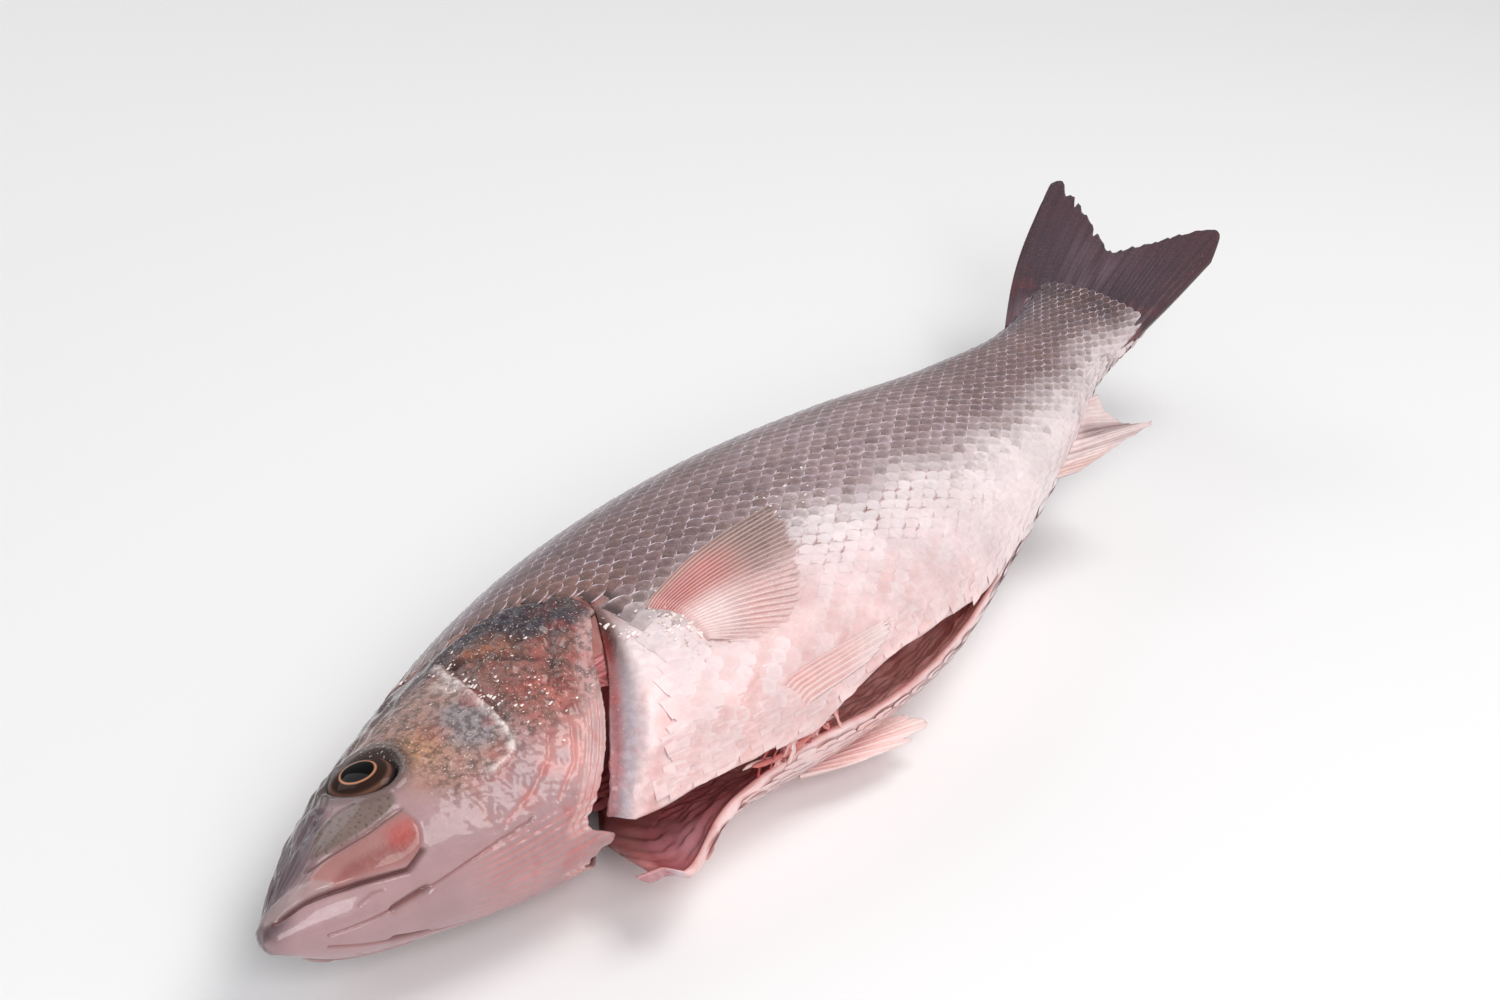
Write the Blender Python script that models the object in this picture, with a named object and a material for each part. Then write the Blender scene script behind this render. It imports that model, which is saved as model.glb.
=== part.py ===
"""A whole raw fish, gutted, lying on its right side: one solid, in metres, +Z up.

The shape is written in the fish's own terms, as shares of BODY_LENGTH: u runs from the snout to
the tail, v from the belly to the back, and w from the right flank to the left one. An angle round
the body is 0 on the back, 90 on the left flank, 180 on the belly and 270 on the right flank.
place() bends the body, lays it on its right side and turns shares into metres: +X points to the
tail, +Y to the back, and the left flank looks up.
"""

import math

import bmesh
import bpy
import numpy as np

# Driving dimensions
BODY_LENGTH = 0.41  # metres; the snout to the fork is 0.95 of it, and to the tail's tips 1.02
MID_PLANE_HEIGHT = 0.0605  # of the body's middle plane above the table
BOX_CENTRE_U = 0.5095
BOX_CENTRE_V = 0.00599

# How the body bends away from straight behind its thickest part
BEND_START_U = 0.35
BEND_SPAN = 0.42
TAIL_LIFT = 0.0678
TAIL_TO_BACK = 0.0367

# The body at its stations: u, back outline, belly outline, half of the width
STATIONS = (
    (0.00, -0.001, -0.019, 0.008),
    (0.03, 0.019, -0.039, 0.025),
    (0.07, 0.041, -0.055, 0.035),
    (0.12, 0.061, -0.070, 0.043),
    (0.18, 0.083, -0.082, 0.050),
    (0.26, 0.106, -0.101, 0.059),
    (0.36, 0.122, -0.115, 0.066),
    (0.48, 0.121, -0.117, 0.065),
    (0.60, 0.098, -0.094, 0.053),
    (0.72, 0.062, -0.069, 0.031),
    (0.81, 0.040, -0.046, 0.017),
    (0.87, 0.044, -0.047, 0.010),
)
WIDEST_SHARE = 0.52  # height of the widest line, as a share of the depth
BELLY_FULLNESS = 0.85  # under 1 gives the belly half of a section fuller sides
BODY_RINGS = 48
RING_SIDES = 40
SNOUT_CAP_U = -0.004
# The body's end inside the tail fin: u, and the shares of depth and width left there
BODY_END = ((0.883, 0.95, 0.55), (0.902, 0.80, 0.08))

# The right belly flap hangs below the body's own outline near the throat
FLAP_DROOP = 0.026
FLAP_DROOP_U = (0.178, 0.192, 0.060)  # where it starts, where it is full, and how far it reaches
FLAP_DROOP_ANGLE = (205.0, 22.0)

# Body cavity, from the gill chamber to the vent: u, roof, wall thickness
CAVITY = (
    (0.135, 0.010, 0.010),
    (0.20, 0.016, 0.009),
    (0.26, 0.008, 0.014),
    (0.34, -0.006, 0.016),
    (0.46, -0.020, 0.015),
    (0.58, -0.045, 0.013),
)
CAVITY_RINGS = 22
CAVITY_SIDES = 16

# Gill opening: the cover's rear edge, the shoulder's ridge and the shoulder's front edge
COVER_EDGE = ((82, 0.281), (92, 0.266), (100, 0.249), (111, 0.233), (122, 0.219), (134, 0.204),
              (144, 0.192), (156, 0.178), (168, 0.162), (173, 0.160), (180, 0.182))
SHOULDER_RIDGE = ((82, 0.284), (98, 0.276), (109, 0.265), (124, 0.247), (143, 0.226), (160, 0.207),
                  (180, 0.198))
SHOULDER_FRONT = ((82, 0.283), (94, 0.272), (104, 0.258), (114, 0.243), (124, 0.228), (138, 0.212),
                  (147, 0.204), (164, 0.195), (180, 0.192))
COVER_THICKNESS = 0.008
SHOULDER_DEPTH = 0.011
GILL_DEPTH = 0.036
GILL_STEPS = 36
CUTTER_CLEARANCE = 0.030  # how far a cutter reaches outside the skin

# Belly cut: u, the left flap's edge and the right flap's edge as w
BELLY_CUT = (
    (0.180, 0.004, -0.012),
    (0.215, 0.006, -0.014),
    (0.243, 0.009, -0.014),
    (0.300, 0.010, -0.010),
    (0.335, 0.008, -0.002),
    (0.366, 0.017, -0.003),
    (0.400, 0.023, -0.007),
    (0.440, 0.022, -0.008),
    (0.480, 0.018, -0.006),
    (0.530, 0.008, -0.003),
    (0.572, 0.0015, -0.0015),
)
BELLY_CUT_HEIGHT = 0.040
BELLY_CUT_STEPS = 30

# Mouth line on the left side, from the corner to the front: u, v
MOUTH_LINE = ((0.078, -0.040), (0.052, -0.034), (0.036, -0.027), (0.017, -0.016), (0.004, -0.011))
MOUTH_GAP = 0.0024
MOUTH_DEPTH = 0.010

# Eyes
EYE_CENTRE = (0.099, 0.020)
EYE_RADIUS = 0.0225
EYE_DEPTH = 0.0175

TABLE_CUT_HEIGHT = 0.1  # metres
FIN_ROWS = (0.0, 0.10, 0.40, 0.72, 1.0)
FIN_TIP_SHARE = 0.45  # a fin's thickness at its tip, as a share of that at its base
FIN_PRESS = (-0.0055, -0.0003)  # the base and the rest of a fin that lies along the flank, off the skin
SKIN_COLOUR = (0.62, 0.52, 0.53, 1.0)


def curve(table, column, at):
    """A smooth curve through one column of a table whose first column is the position."""
    rows = np.array(table, float)
    xs, ys = rows[:, 0], rows[:, column]
    at = np.clip(np.asarray(at, float), xs[0], xs[-1])
    step = np.diff(xs)
    rise = np.diff(ys) / step
    slope = np.concatenate([rise[:1], (rise[:-1] * step[1:] + rise[1:] * step[:-1]) / (step[:-1] + step[1:]), rise[-1:]])
    i = np.clip(np.searchsorted(xs, at) - 1, 0, len(xs) - 2)
    t = (at - xs[i]) / step[i]
    return (
        ys[i] * (1 + 2 * t) * (1 - t) ** 2
        + slope[i] * step[i] * t * (1 - t) ** 2
        + ys[i + 1] * t * t * (3 - 2 * t)
        + slope[i + 1] * step[i] * t * t * (t - 1)
    )


def middle(u):
    """The height v of the widest line at u."""
    back, belly = curve(STATIONS, 1, u), curve(STATIONS, 2, u)
    return belly + (back - belly) * WIDEST_SHARE


def bump(x, centre, spread):
    """1 at the centre, falling smoothly to nothing."""
    return math.exp(-(((x - centre) / spread) ** 2))


def skin(u, angle, depth=0.0):
    """The point (u, v, w) at an angle in degrees round the body, and depth below the skin."""
    back, belly, mid = float(curve(STATIONS, 1, u)), float(curve(STATIONS, 2, u)), float(middle(u))
    c, s = math.cos(math.radians(angle)), math.sin(math.radians(angle))
    if c > 0:
        v, w = mid + (back - mid) * c, abs(s)
    else:
        v, w = mid + (mid - belly) * c, abs(s) ** BELLY_FULLNESS
    w *= math.copysign(float(curve(STATIONS, 3, u)), s)
    start, full, reach = FLAP_DROOP_U
    along = min(1.0, max(0.0, (u - start) / (full - start))) * bump(max(u, full), full, reach)
    v -= FLAP_DROOP * along * bump(angle, *FLAP_DROOP_ANGLE)
    inward = np.array([mid - v, -w])
    inward /= max(float(np.linalg.norm(inward)), 1e-6)
    return np.array([u, v + inward[0] * depth, w + inward[1] * depth])


def angle_at(u, v):
    """The angle round the body, on the left flank, at the height v."""
    mid = float(middle(u))
    rise = float(curve(STATIONS, 1, u)) - mid if v > mid else mid - float(curve(STATIONS, 2, u))
    return math.degrees(math.acos((v - mid) / rise))


def skin_at(u, v, side, lift=0.0):
    """The point on one flank (side 1 is the left, -1 the right) at the height v."""
    back, belly, mid = float(curve(STATIONS, 1, u)), float(curve(STATIONS, 2, u)), float(middle(u))
    c = (v - mid) / ((back - mid) if v > mid else (mid - belly))
    s = math.sqrt(max(0.0, 1 - min(1.0, abs(c)) ** 2))
    w = float(curve(STATIONS, 3, u)) * s ** (1.0 if c > 0 else BELLY_FULLNESS)
    return np.array([u, v, side * (w + lift)])


def place(points):
    """Fish coordinates, as shares of the body's length, to metres on the table."""
    p = np.array(points, float).reshape(-1, 3)
    behind = np.clip(p[:, 0] - BEND_START_U, 0, None) ** 2 / BEND_SPAN
    return BODY_LENGTH * np.stack(
        [
            p[:, 0] - BOX_CENTRE_U,
            p[:, 1] + TAIL_TO_BACK * behind - BOX_CENTRE_V,
            p[:, 2] + TAIL_LIFT * behind + MID_PLANE_HEIGHT,
        ],
        axis=1,
    )


def solid(name, points, faces):
    """A closed mesh object from placed points, its faces turned outwards."""
    mesh = bpy.data.meshes.new(name)
    mesh.from_pydata([tuple(p) for p in place(points)], [], faces)
    bm = bmesh.new()
    bm.from_mesh(mesh)
    bmesh.ops.recalc_face_normals(bm, faces=bm.faces)
    bmesh.ops.triangulate(bm, faces=bm.faces)
    bm.to_mesh(mesh)
    bm.free()
    made = bpy.data.objects.new(name, mesh)
    bpy.context.scene.collection.objects.link(made)
    return made


def tube(name, rings):
    """A solid lofted through closed rings of equal size, with a flat cap at each end."""
    sides = len(rings[0])
    points = [p for ring in rings for p in ring]
    faces = []
    for i in range(len(rings) - 1):
        for j in range(sides):
            a, b = i * sides + j, i * sides + (j + 1) % sides
            faces.append((a, b, b + sides, a + sides))
    for ring in (0, len(rings) - 1):
        centre = len(points)
        points.append(np.mean(rings[ring], axis=0))
        faces += [(ring * sides + j, ring * sides + (j + 1) % sides, centre) for j in range(sides)]
    return solid(name, points, faces)


def helper(made):
    """Marks an operand of the fish's Booleans, which isn't a node of its own."""
    made.hide_render = True
    made.display_type = "WIRE"
    return made


def body():
    """The closed outer body, from the snout to the root of the tail fin."""
    share = np.linspace(0, 1, BODY_RINGS)
    rings = []
    for u in 0.87 * share**1.25:
        rings.append([skin(u, 360 * j / RING_SIDES) for j in range(RING_SIDES)])
    tip = np.mean(rings[0], axis=0) + (SNOUT_CAP_U, 0, 0)
    snout = [tip + 0.55 * (p - np.mean(rings[0], axis=0)) for p in rings[0]]
    root = rings[-1]
    rings += [[np.array([u, p[1] * depth, p[2] * width]) for p in root] for u, depth, width in BODY_END]
    return tube("fish", [snout] + rings)


def cavity():
    """The hollow of the gill chamber and the belly, as one cutter."""
    rings = []
    first, last = CAVITY[0][0], CAVITY[-1][0]
    for i in range(CAVITY_RINGS):
        t = i / (CAVITY_RINGS - 1)
        u = first + (last - first) * t
        wall = float(curve(CAVITY, 2, u))
        size = math.sqrt(min(1.0, 0.10 + min(t, 1 - t) * 6))
        top = angle_at(u, float(curve(CAVITY, 1, u)))
        angles = [top + (360 - 2 * top) * j / (CAVITY_SIDES - 1) for j in range(CAVITY_SIDES)]
        ring = [skin(u, angle, wall) for angle in angles]
        centre = np.mean(ring, axis=0)
        rings.append([centre + (p - centre) * size for p in ring])
    return tube("cavity_cutter", rings)


def gill_opening():
    """The opening behind both gill covers and under the throat, as one cutter."""
    rings = []
    top = COVER_EDGE[0][0]
    for i in range(GILL_STEPS):
        angle = top + (360 - 2 * top) * i / (GILL_STEPS - 1)
        half = min(angle, 360 - angle)
        cover = float(curve(COVER_EDGE, 1, half))
        ridge = float(curve(SHOULDER_RIDGE, 1, half))
        front = float(curve(SHOULDER_FRONT, 1, half))
        grown = min(1.0, (half - top) / 16 + 0.12)
        outside = -0.010 * min(1.0, grown + 0.3) - (CUTTER_CLEARANCE - 0.010) * bump(half, 180, 35)
        rings.append(
            [
                skin(cover, angle, outside),
                skin(ridge, angle, outside),
                skin(ridge, angle, 0.0),
                skin(front, angle, SHOULDER_DEPTH * grown),
                skin(front, angle, GILL_DEPTH * grown),
                skin(cover - 0.012 * grown, angle, GILL_DEPTH * grown),
                skin(cover - 0.012 * grown, angle, COVER_THICKNESS * grown + 0.002),
                skin(cover, angle, COVER_THICKNESS * grown),
            ]
        )
    return tube("gill_cutter", rings)


def belly_cut():
    """The cut along the belly, from the throat to the vent."""
    rings = []
    first, last = BELLY_CUT[0][0], BELLY_CUT[-1][0]
    for i in range(BELLY_CUT_STEPS):
        u = first + (last - first) * i / (BELLY_CUT_STEPS - 1)
        left, right = float(curve(BELLY_CUT, 1, u)), float(curve(BELLY_CUT, 2, u))
        low = float(curve(STATIONS, 2, u)) - FLAP_DROOP - CUTTER_CLEARANCE
        high = float(curve(STATIONS, 2, u)) + BELLY_CUT_HEIGHT
        rings.append([np.array([u, v, w]) for v, w in ((low, left), (high, left), (high, right), (low, right))])
    return tube("belly_cutter", rings)


def mouth():
    """The shut mouth's cleft round the snout, as a thin cutter."""
    left = [(u, v, 1) for u, v in MOUTH_LINE]
    line = left + [(-0.006, -0.0095, 0)] + [(u, v, -1) for u, v, _ in reversed(left)]
    rings = []
    for u, v, side in line:
        on_skin = skin_at(max(u, 0.0), v, side) if side else np.array([u, v, 0.0])
        out = np.array([-0.2 if side else -1.0, 0.0, float(side)])
        out /= np.linalg.norm(out)
        half_gap = np.array([0, MOUTH_GAP / 2, 0])
        outer, inner = on_skin + out * 0.008, on_skin - out * MOUTH_DEPTH
        rings.append([outer + half_gap, inner + half_gap, inner - half_gap, outer - half_gap])
    return tube("mouth_cutter", rings)


def eye(side):
    """One eyeball, bulging from the cheek."""
    u, v = EYE_CENTRE
    centre = skin_at(u, v, side, -EYE_DEPTH)
    rings = []
    for i in range(1, 9):
        polar = math.pi * i / 9
        rings.append(
            [
                centre
                + EYE_RADIUS
                * np.array(
                    [
                        math.sin(polar) * math.cos(2 * math.pi * j / 16),
                        math.sin(polar) * math.sin(2 * math.pi * j / 16),
                        math.cos(polar),
                    ]
                )
                for j in range(16)
            ]
        )
    return tube("eye_left" if side > 0 else "eye_right", rings)


def fin(name, base, tip, rays, thickness, bow=0.0, surface=None, tip_share=FIN_TIP_SHARE):
    """A thin fin with a ridge for each ray. base and tip are tables of (share, u, v, w); bow pushes
    the first ray outwards in v, and surface moves a point onto the flank it lies along."""
    rows = len(FIN_ROWS)
    columns = 2 * rays - 1
    front, back = [], []
    for j in range(columns):
        t = j / (columns - 1)
        a = np.array([float(curve(base, k, t)) for k in (1, 2, 3)])
        b = np.array([float(curve(tip, k, t)) for k in (1, 2, 3)])
        ridge = 1.0 if j % 2 == 0 else 0.6
        for s in FIN_ROWS:
            p = a + (b - a) * s
            p[1] += bow * math.sin(math.pi * s) * (1 - t)
            if surface:
                p = surface(p, s)
            half = thickness / 2 * ridge * (1 - (1 - tip_share) * s)
            front.append(p + (0, 0, half))
            back.append(p - (0, 0, half))
    points = front + back
    count = len(front)
    faces = []
    for j in range(columns - 1):
        for i in range(rows - 1):
            a = j * rows + i
            quad = (a, a + 1, a + rows + 1, a + rows)
            faces.append(quad)
            faces.append(tuple(k + count for k in reversed(quad)))
    rim = [j * rows for j in range(columns)]
    rim += [(columns - 1) * rows + i for i in range(1, rows)]
    rim += [j * rows + rows - 1 for j in reversed(range(columns - 1))]
    rim += [i for i in reversed(range(1, rows - 1))]
    for a, b in zip(rim, rim[1:] + rim[:1]):
        faces.append((a, b, b + count, a + count))
    return solid(name, points, faces)


def caudal_fin():
    """The forked tail fin, a little less spread on its belly side."""
    base = ((0, 0.806, 0.030, 0), (0.5, 0.838, -0.004, 0), (1, 0.846, -0.041, 0))
    tip = (
        (0.00, 1.023, 0.101, 0.000),
        (0.12, 1.010, 0.082, 0.001),
        (0.26, 0.989, 0.059, 0.002),
        (0.40, 0.966, 0.034, 0.003),
        (0.50, 0.951, 0.018, 0.004),
        (0.60, 0.962, 0.006, 0.006),
        (0.76, 0.982, -0.014, 0.009),
        (0.90, 0.998, -0.035, 0.012),
        (1.00, 1.006, -0.049, 0.014),
    )
    return fin("caudal_fin", base, tip, 15, 0.0062, bow=0.007)


def anal_fin():
    """The fin behind the vent, laid back."""
    base = ((0, 0.664, -0.070, 0), (1, 0.772, -0.048, 0))
    tip = ((0, 0.706, -0.092, 0.002), (0.3, 0.745, -0.102, 0.003), (0.55, 0.777, -0.106, 0.004), (0.8, 0.790, -0.088, 0.003),
           (1, 0.802, -0.064, 0.002))
    return fin("anal_fin", base, tip, 9, 0.0050)


def dorsal_fin(name, first, last, reach, height, rays):
    """A fin folded back along the ridge of the back and leaning to the lower side."""
    def at(u, rise, lean):
        return (u, float(curve(STATIONS, 1, u)) + rise, lean)

    base = [(t, *at(first + (last - first) * t, -0.006, 0.001)) for t in (0, 0.5, 1)]
    tip = [(t, *at(first + (last - first) * t + reach * (1 - 0.35 * t), height * math.sin(math.pi * (0.22 + 0.6 * t)), -0.008))
           for t in (0, 0.25, 0.5, 0.75, 1)]
    return fin(name, base, tip, rays, 0.0048)


def pectoral_fin(side):
    """A fin behind the gill cover, folded back along the flank."""
    base = ((0, 0.288, -0.012, 0), (0.5, 0.299, -0.028, 0), (1, 0.302, -0.050, 0))
    tip = ((0, 0.441, 0.002, 0), (0.3, 0.424, -0.026, 0), (0.6, 0.394, -0.053, 0), (0.85, 0.358, -0.071, 0),
           (1, 0.326, -0.067, 0))

    def on_flank(p, s):
        return skin_at(p[0], p[1], side, FIN_PRESS[0] if s == 0 else FIN_PRESS[1])

    return fin("pectoral_left" if side > 0 else "pectoral_right", base, tip, 11, 0.0052, bow=0.006, surface=on_flank,
               tip_share=1)


def pelvic_left():
    """The upper pelvic fin, lying along the left belly flap."""
    base = ((0, 0.314, -0.093, 0), (1, 0.326, -0.106, 0))
    tip = ((0, 0.424, -0.101, 0), (0.5, 0.418, -0.106, 0), (1, 0.392, -0.110, 0))

    def on_flank(p, s):
        return skin_at(p[0], p[1], 1, FIN_PRESS[0] if s == 0 else FIN_PRESS[1])

    return fin("pelvic_left", base, tip, 6, 0.0052, surface=on_flank, tip_share=1)


def pelvic_right():
    """The lower pelvic fin, which stands off the right belly flap towards the tail."""
    base = ((0, 0.350, -0.086, -0.033), (1, 0.336, -0.104, -0.030))
    tip = ((0, 0.432, -0.105, -0.035), (0.3, 0.449, -0.119, -0.036), (0.5, 0.446, -0.128, -0.036), (0.75, 0.414, -0.128, -0.035),
           (1, 0.382, -0.121, -0.034))
    return fin("pelvic_right", base, tip, 6, 0.0046)


def table_cut():
    """Everything below the table: it leaves the small flat patch that the fish rests on."""
    bpy.ops.mesh.primitive_cube_add(size=1, location=(0, 0, -TABLE_CUT_HEIGHT / 2))
    made = bpy.context.object
    made.name = "table_cutter"
    made.scale = (1.2, 1.2, TABLE_CUT_HEIGHT)
    return made


def combine(whole, operation, parts):
    """Adds one exact Boolean for each helper."""
    for part in parts:
        modifier = whole.modifiers.new(f"{operation.lower()} {part.name}", "BOOLEAN")
        modifier.operation = operation
        modifier.object = helper(part)
        modifier.solver = "EXACT"


def flesh():
    """The skin's plain material."""
    made = bpy.data.materials.new("skin")
    made.use_nodes = True
    shader = made.node_tree.nodes["Principled BSDF"]
    shader.inputs["Base Color"].default_value = SKIN_COLOUR
    shader.inputs["Roughness"].default_value = 0.35
    return made


def main():
    for old in list(bpy.data.objects):
        bpy.data.objects.remove(old)
    fish = body()
    fish.data.materials.append(flesh())
    combine(fish, "DIFFERENCE", [cavity(), gill_opening(), belly_cut(), mouth()])
    combine(
        fish,
        "UNION",
        [
            eye(1),
            eye(-1),
            caudal_fin(),
            anal_fin(),
            dorsal_fin("spiny_dorsal_fin", 0.30, 0.49, 0.045, 0.005, 9),
            dorsal_fin("soft_dorsal_fin", 0.53, 0.66, 0.050, 0.007, 10),
            pectoral_fin(1),
            pectoral_fin(-1),
            pelvic_left(),
            pelvic_right(),
        ],
    )
    combine(fish, "DIFFERENCE", [table_cut()])


main()
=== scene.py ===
"""The looks of a whole raw fish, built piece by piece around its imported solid.

Shapes are written in the fish's own terms, as shares of its body length: u runs from the snout to
the tail, v from the belly to the back, and w from the right flank to the left one. An angle round
the body is 0 on the back, 90 on the left flank, 180 on the belly and 270 on the right flank.
"""

import logging
import math
from dataclasses import dataclass, field
from enum import Enum
from typing import Callable, Optional, Sequence

import bmesh
import bpy
import numpy as np
from mathutils import Matrix, Vector

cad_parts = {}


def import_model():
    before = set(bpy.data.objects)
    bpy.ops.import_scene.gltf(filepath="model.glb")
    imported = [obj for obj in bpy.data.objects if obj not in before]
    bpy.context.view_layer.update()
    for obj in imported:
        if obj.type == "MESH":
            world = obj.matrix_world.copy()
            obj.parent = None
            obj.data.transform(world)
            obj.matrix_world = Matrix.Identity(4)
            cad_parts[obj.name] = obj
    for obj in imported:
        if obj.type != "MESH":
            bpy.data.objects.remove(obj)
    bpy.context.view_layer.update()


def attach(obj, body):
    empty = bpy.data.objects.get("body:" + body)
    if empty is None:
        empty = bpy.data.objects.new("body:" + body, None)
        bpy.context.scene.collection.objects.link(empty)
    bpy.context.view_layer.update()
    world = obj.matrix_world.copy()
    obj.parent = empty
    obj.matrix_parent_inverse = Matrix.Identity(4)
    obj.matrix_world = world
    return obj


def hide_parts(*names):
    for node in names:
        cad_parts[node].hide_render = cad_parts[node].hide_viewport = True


LOG = logging.getLogger("fish")
Array = np.ndarray
Colour = tuple[float, float, float]


def tone(red: float, green: float, blue: float) -> Colour:
    """Turns a display colour, 0 to 255, into a linear one.

    Args:
        red: Red share.
        green: Green share.
        blue: Blue share.

    Returns:
        The linear colour.
    """
    shares = [max(c, 0.0) / 255 for c in (red, green, blue)]
    return tuple(c / 12.92 if c <= 0.04045 else ((c + 0.055) / 1.055) ** 2.4 for c in shares)


def smooth(value: Array, low: float, high: float) -> Array:
    """A smooth step from 0 at low to 1 at high; low may be the larger one."""
    t = np.clip((np.asarray(value, float) - low) / (high - low), 0, 1)
    return t * t * (3 - 2 * t)


def bell(value: Array, centre: float, spread: float) -> Array:
    """1 at the centre, falling smoothly to nothing a few spreads away."""
    return np.exp(-(((np.asarray(value, float) - centre) / spread) ** 2))


def blend(base: Array, colour: Colour, share: Array) -> Array:
    """Mixes one colour into an array of colours by an array of shares."""
    share = np.clip(np.asarray(share, float), 0, 1)[..., None]
    return base * (1 - share) + np.array(colour) * share


def wander(u: Array, v: Array, scale: float, seed: int) -> Array:
    """A smooth random field between about -1 and 1, from a sum of turned waves.

    Args:
        u: First coordinate.
        v: Second coordinate.
        scale: The size of its blotches.
        seed: Which field it is.

    Returns:
        The field at each point.
    """
    chance = np.random.default_rng(seed)
    total = np.zeros(np.broadcast(u, v).shape)
    for _ in range(14):
        turn, phase = chance.uniform(0, 2 * math.pi, 2)
        stretch = chance.uniform(0.6, 1.7) * 2 * math.pi / scale
        total += np.sin(stretch * (np.cos(turn) * u + np.sin(turn) * v) + phase)
    return total / 4.0


class Curve:
    """A smooth curve through knots whose first value is the position."""

    def __init__(self, knots: Sequence[Sequence[float]], column: int = 1) -> None:
        """Keeps one column of the knots.

        Args:
            knots: Rows of position and values.
            column: Which value the curve gives.
        """
        rows = np.array(knots, float)
        self.xs, self.ys = rows[:, 0], rows[:, column]
        step = np.diff(self.xs)
        rise = np.diff(self.ys) / step
        inner = (rise[:-1] * step[1:] + rise[1:] * step[:-1]) / (step[:-1] + step[1:])
        self.slope = np.concatenate([rise[:1], inner, rise[-1:]])

    def __call__(self, at: Array) -> Array:
        """The curve's value at each position, held level beyond its ends."""
        at = np.clip(np.asarray(at, float), self.xs[0], self.xs[-1])
        i = np.clip(np.searchsorted(self.xs, at) - 1, 0, len(self.xs) - 2)
        step = self.xs[i + 1] - self.xs[i]
        t = (at - self.xs[i]) / step
        rising = t * t * (3 - 2 * t)
        ends = self.slope[i] * t * (1 - t) ** 2 + self.slope[i + 1] * t * t * (t - 1)
        return self.ys[i] * (1 - rising) + self.ys[i + 1] * rising + ends * step


STATIONS = (
    (0.00, -0.001, -0.019, 0.008),
    (0.03, 0.019, -0.039, 0.025),
    (0.07, 0.041, -0.055, 0.035),
    (0.12, 0.061, -0.070, 0.043),
    (0.18, 0.083, -0.082, 0.050),
    (0.26, 0.106, -0.101, 0.059),
    (0.36, 0.122, -0.115, 0.066),
    (0.48, 0.121, -0.117, 0.065),
    (0.60, 0.098, -0.094, 0.053),
    (0.72, 0.062, -0.069, 0.031),
    (0.81, 0.040, -0.046, 0.017),
    (0.87, 0.044, -0.047, 0.010),
)


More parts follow.
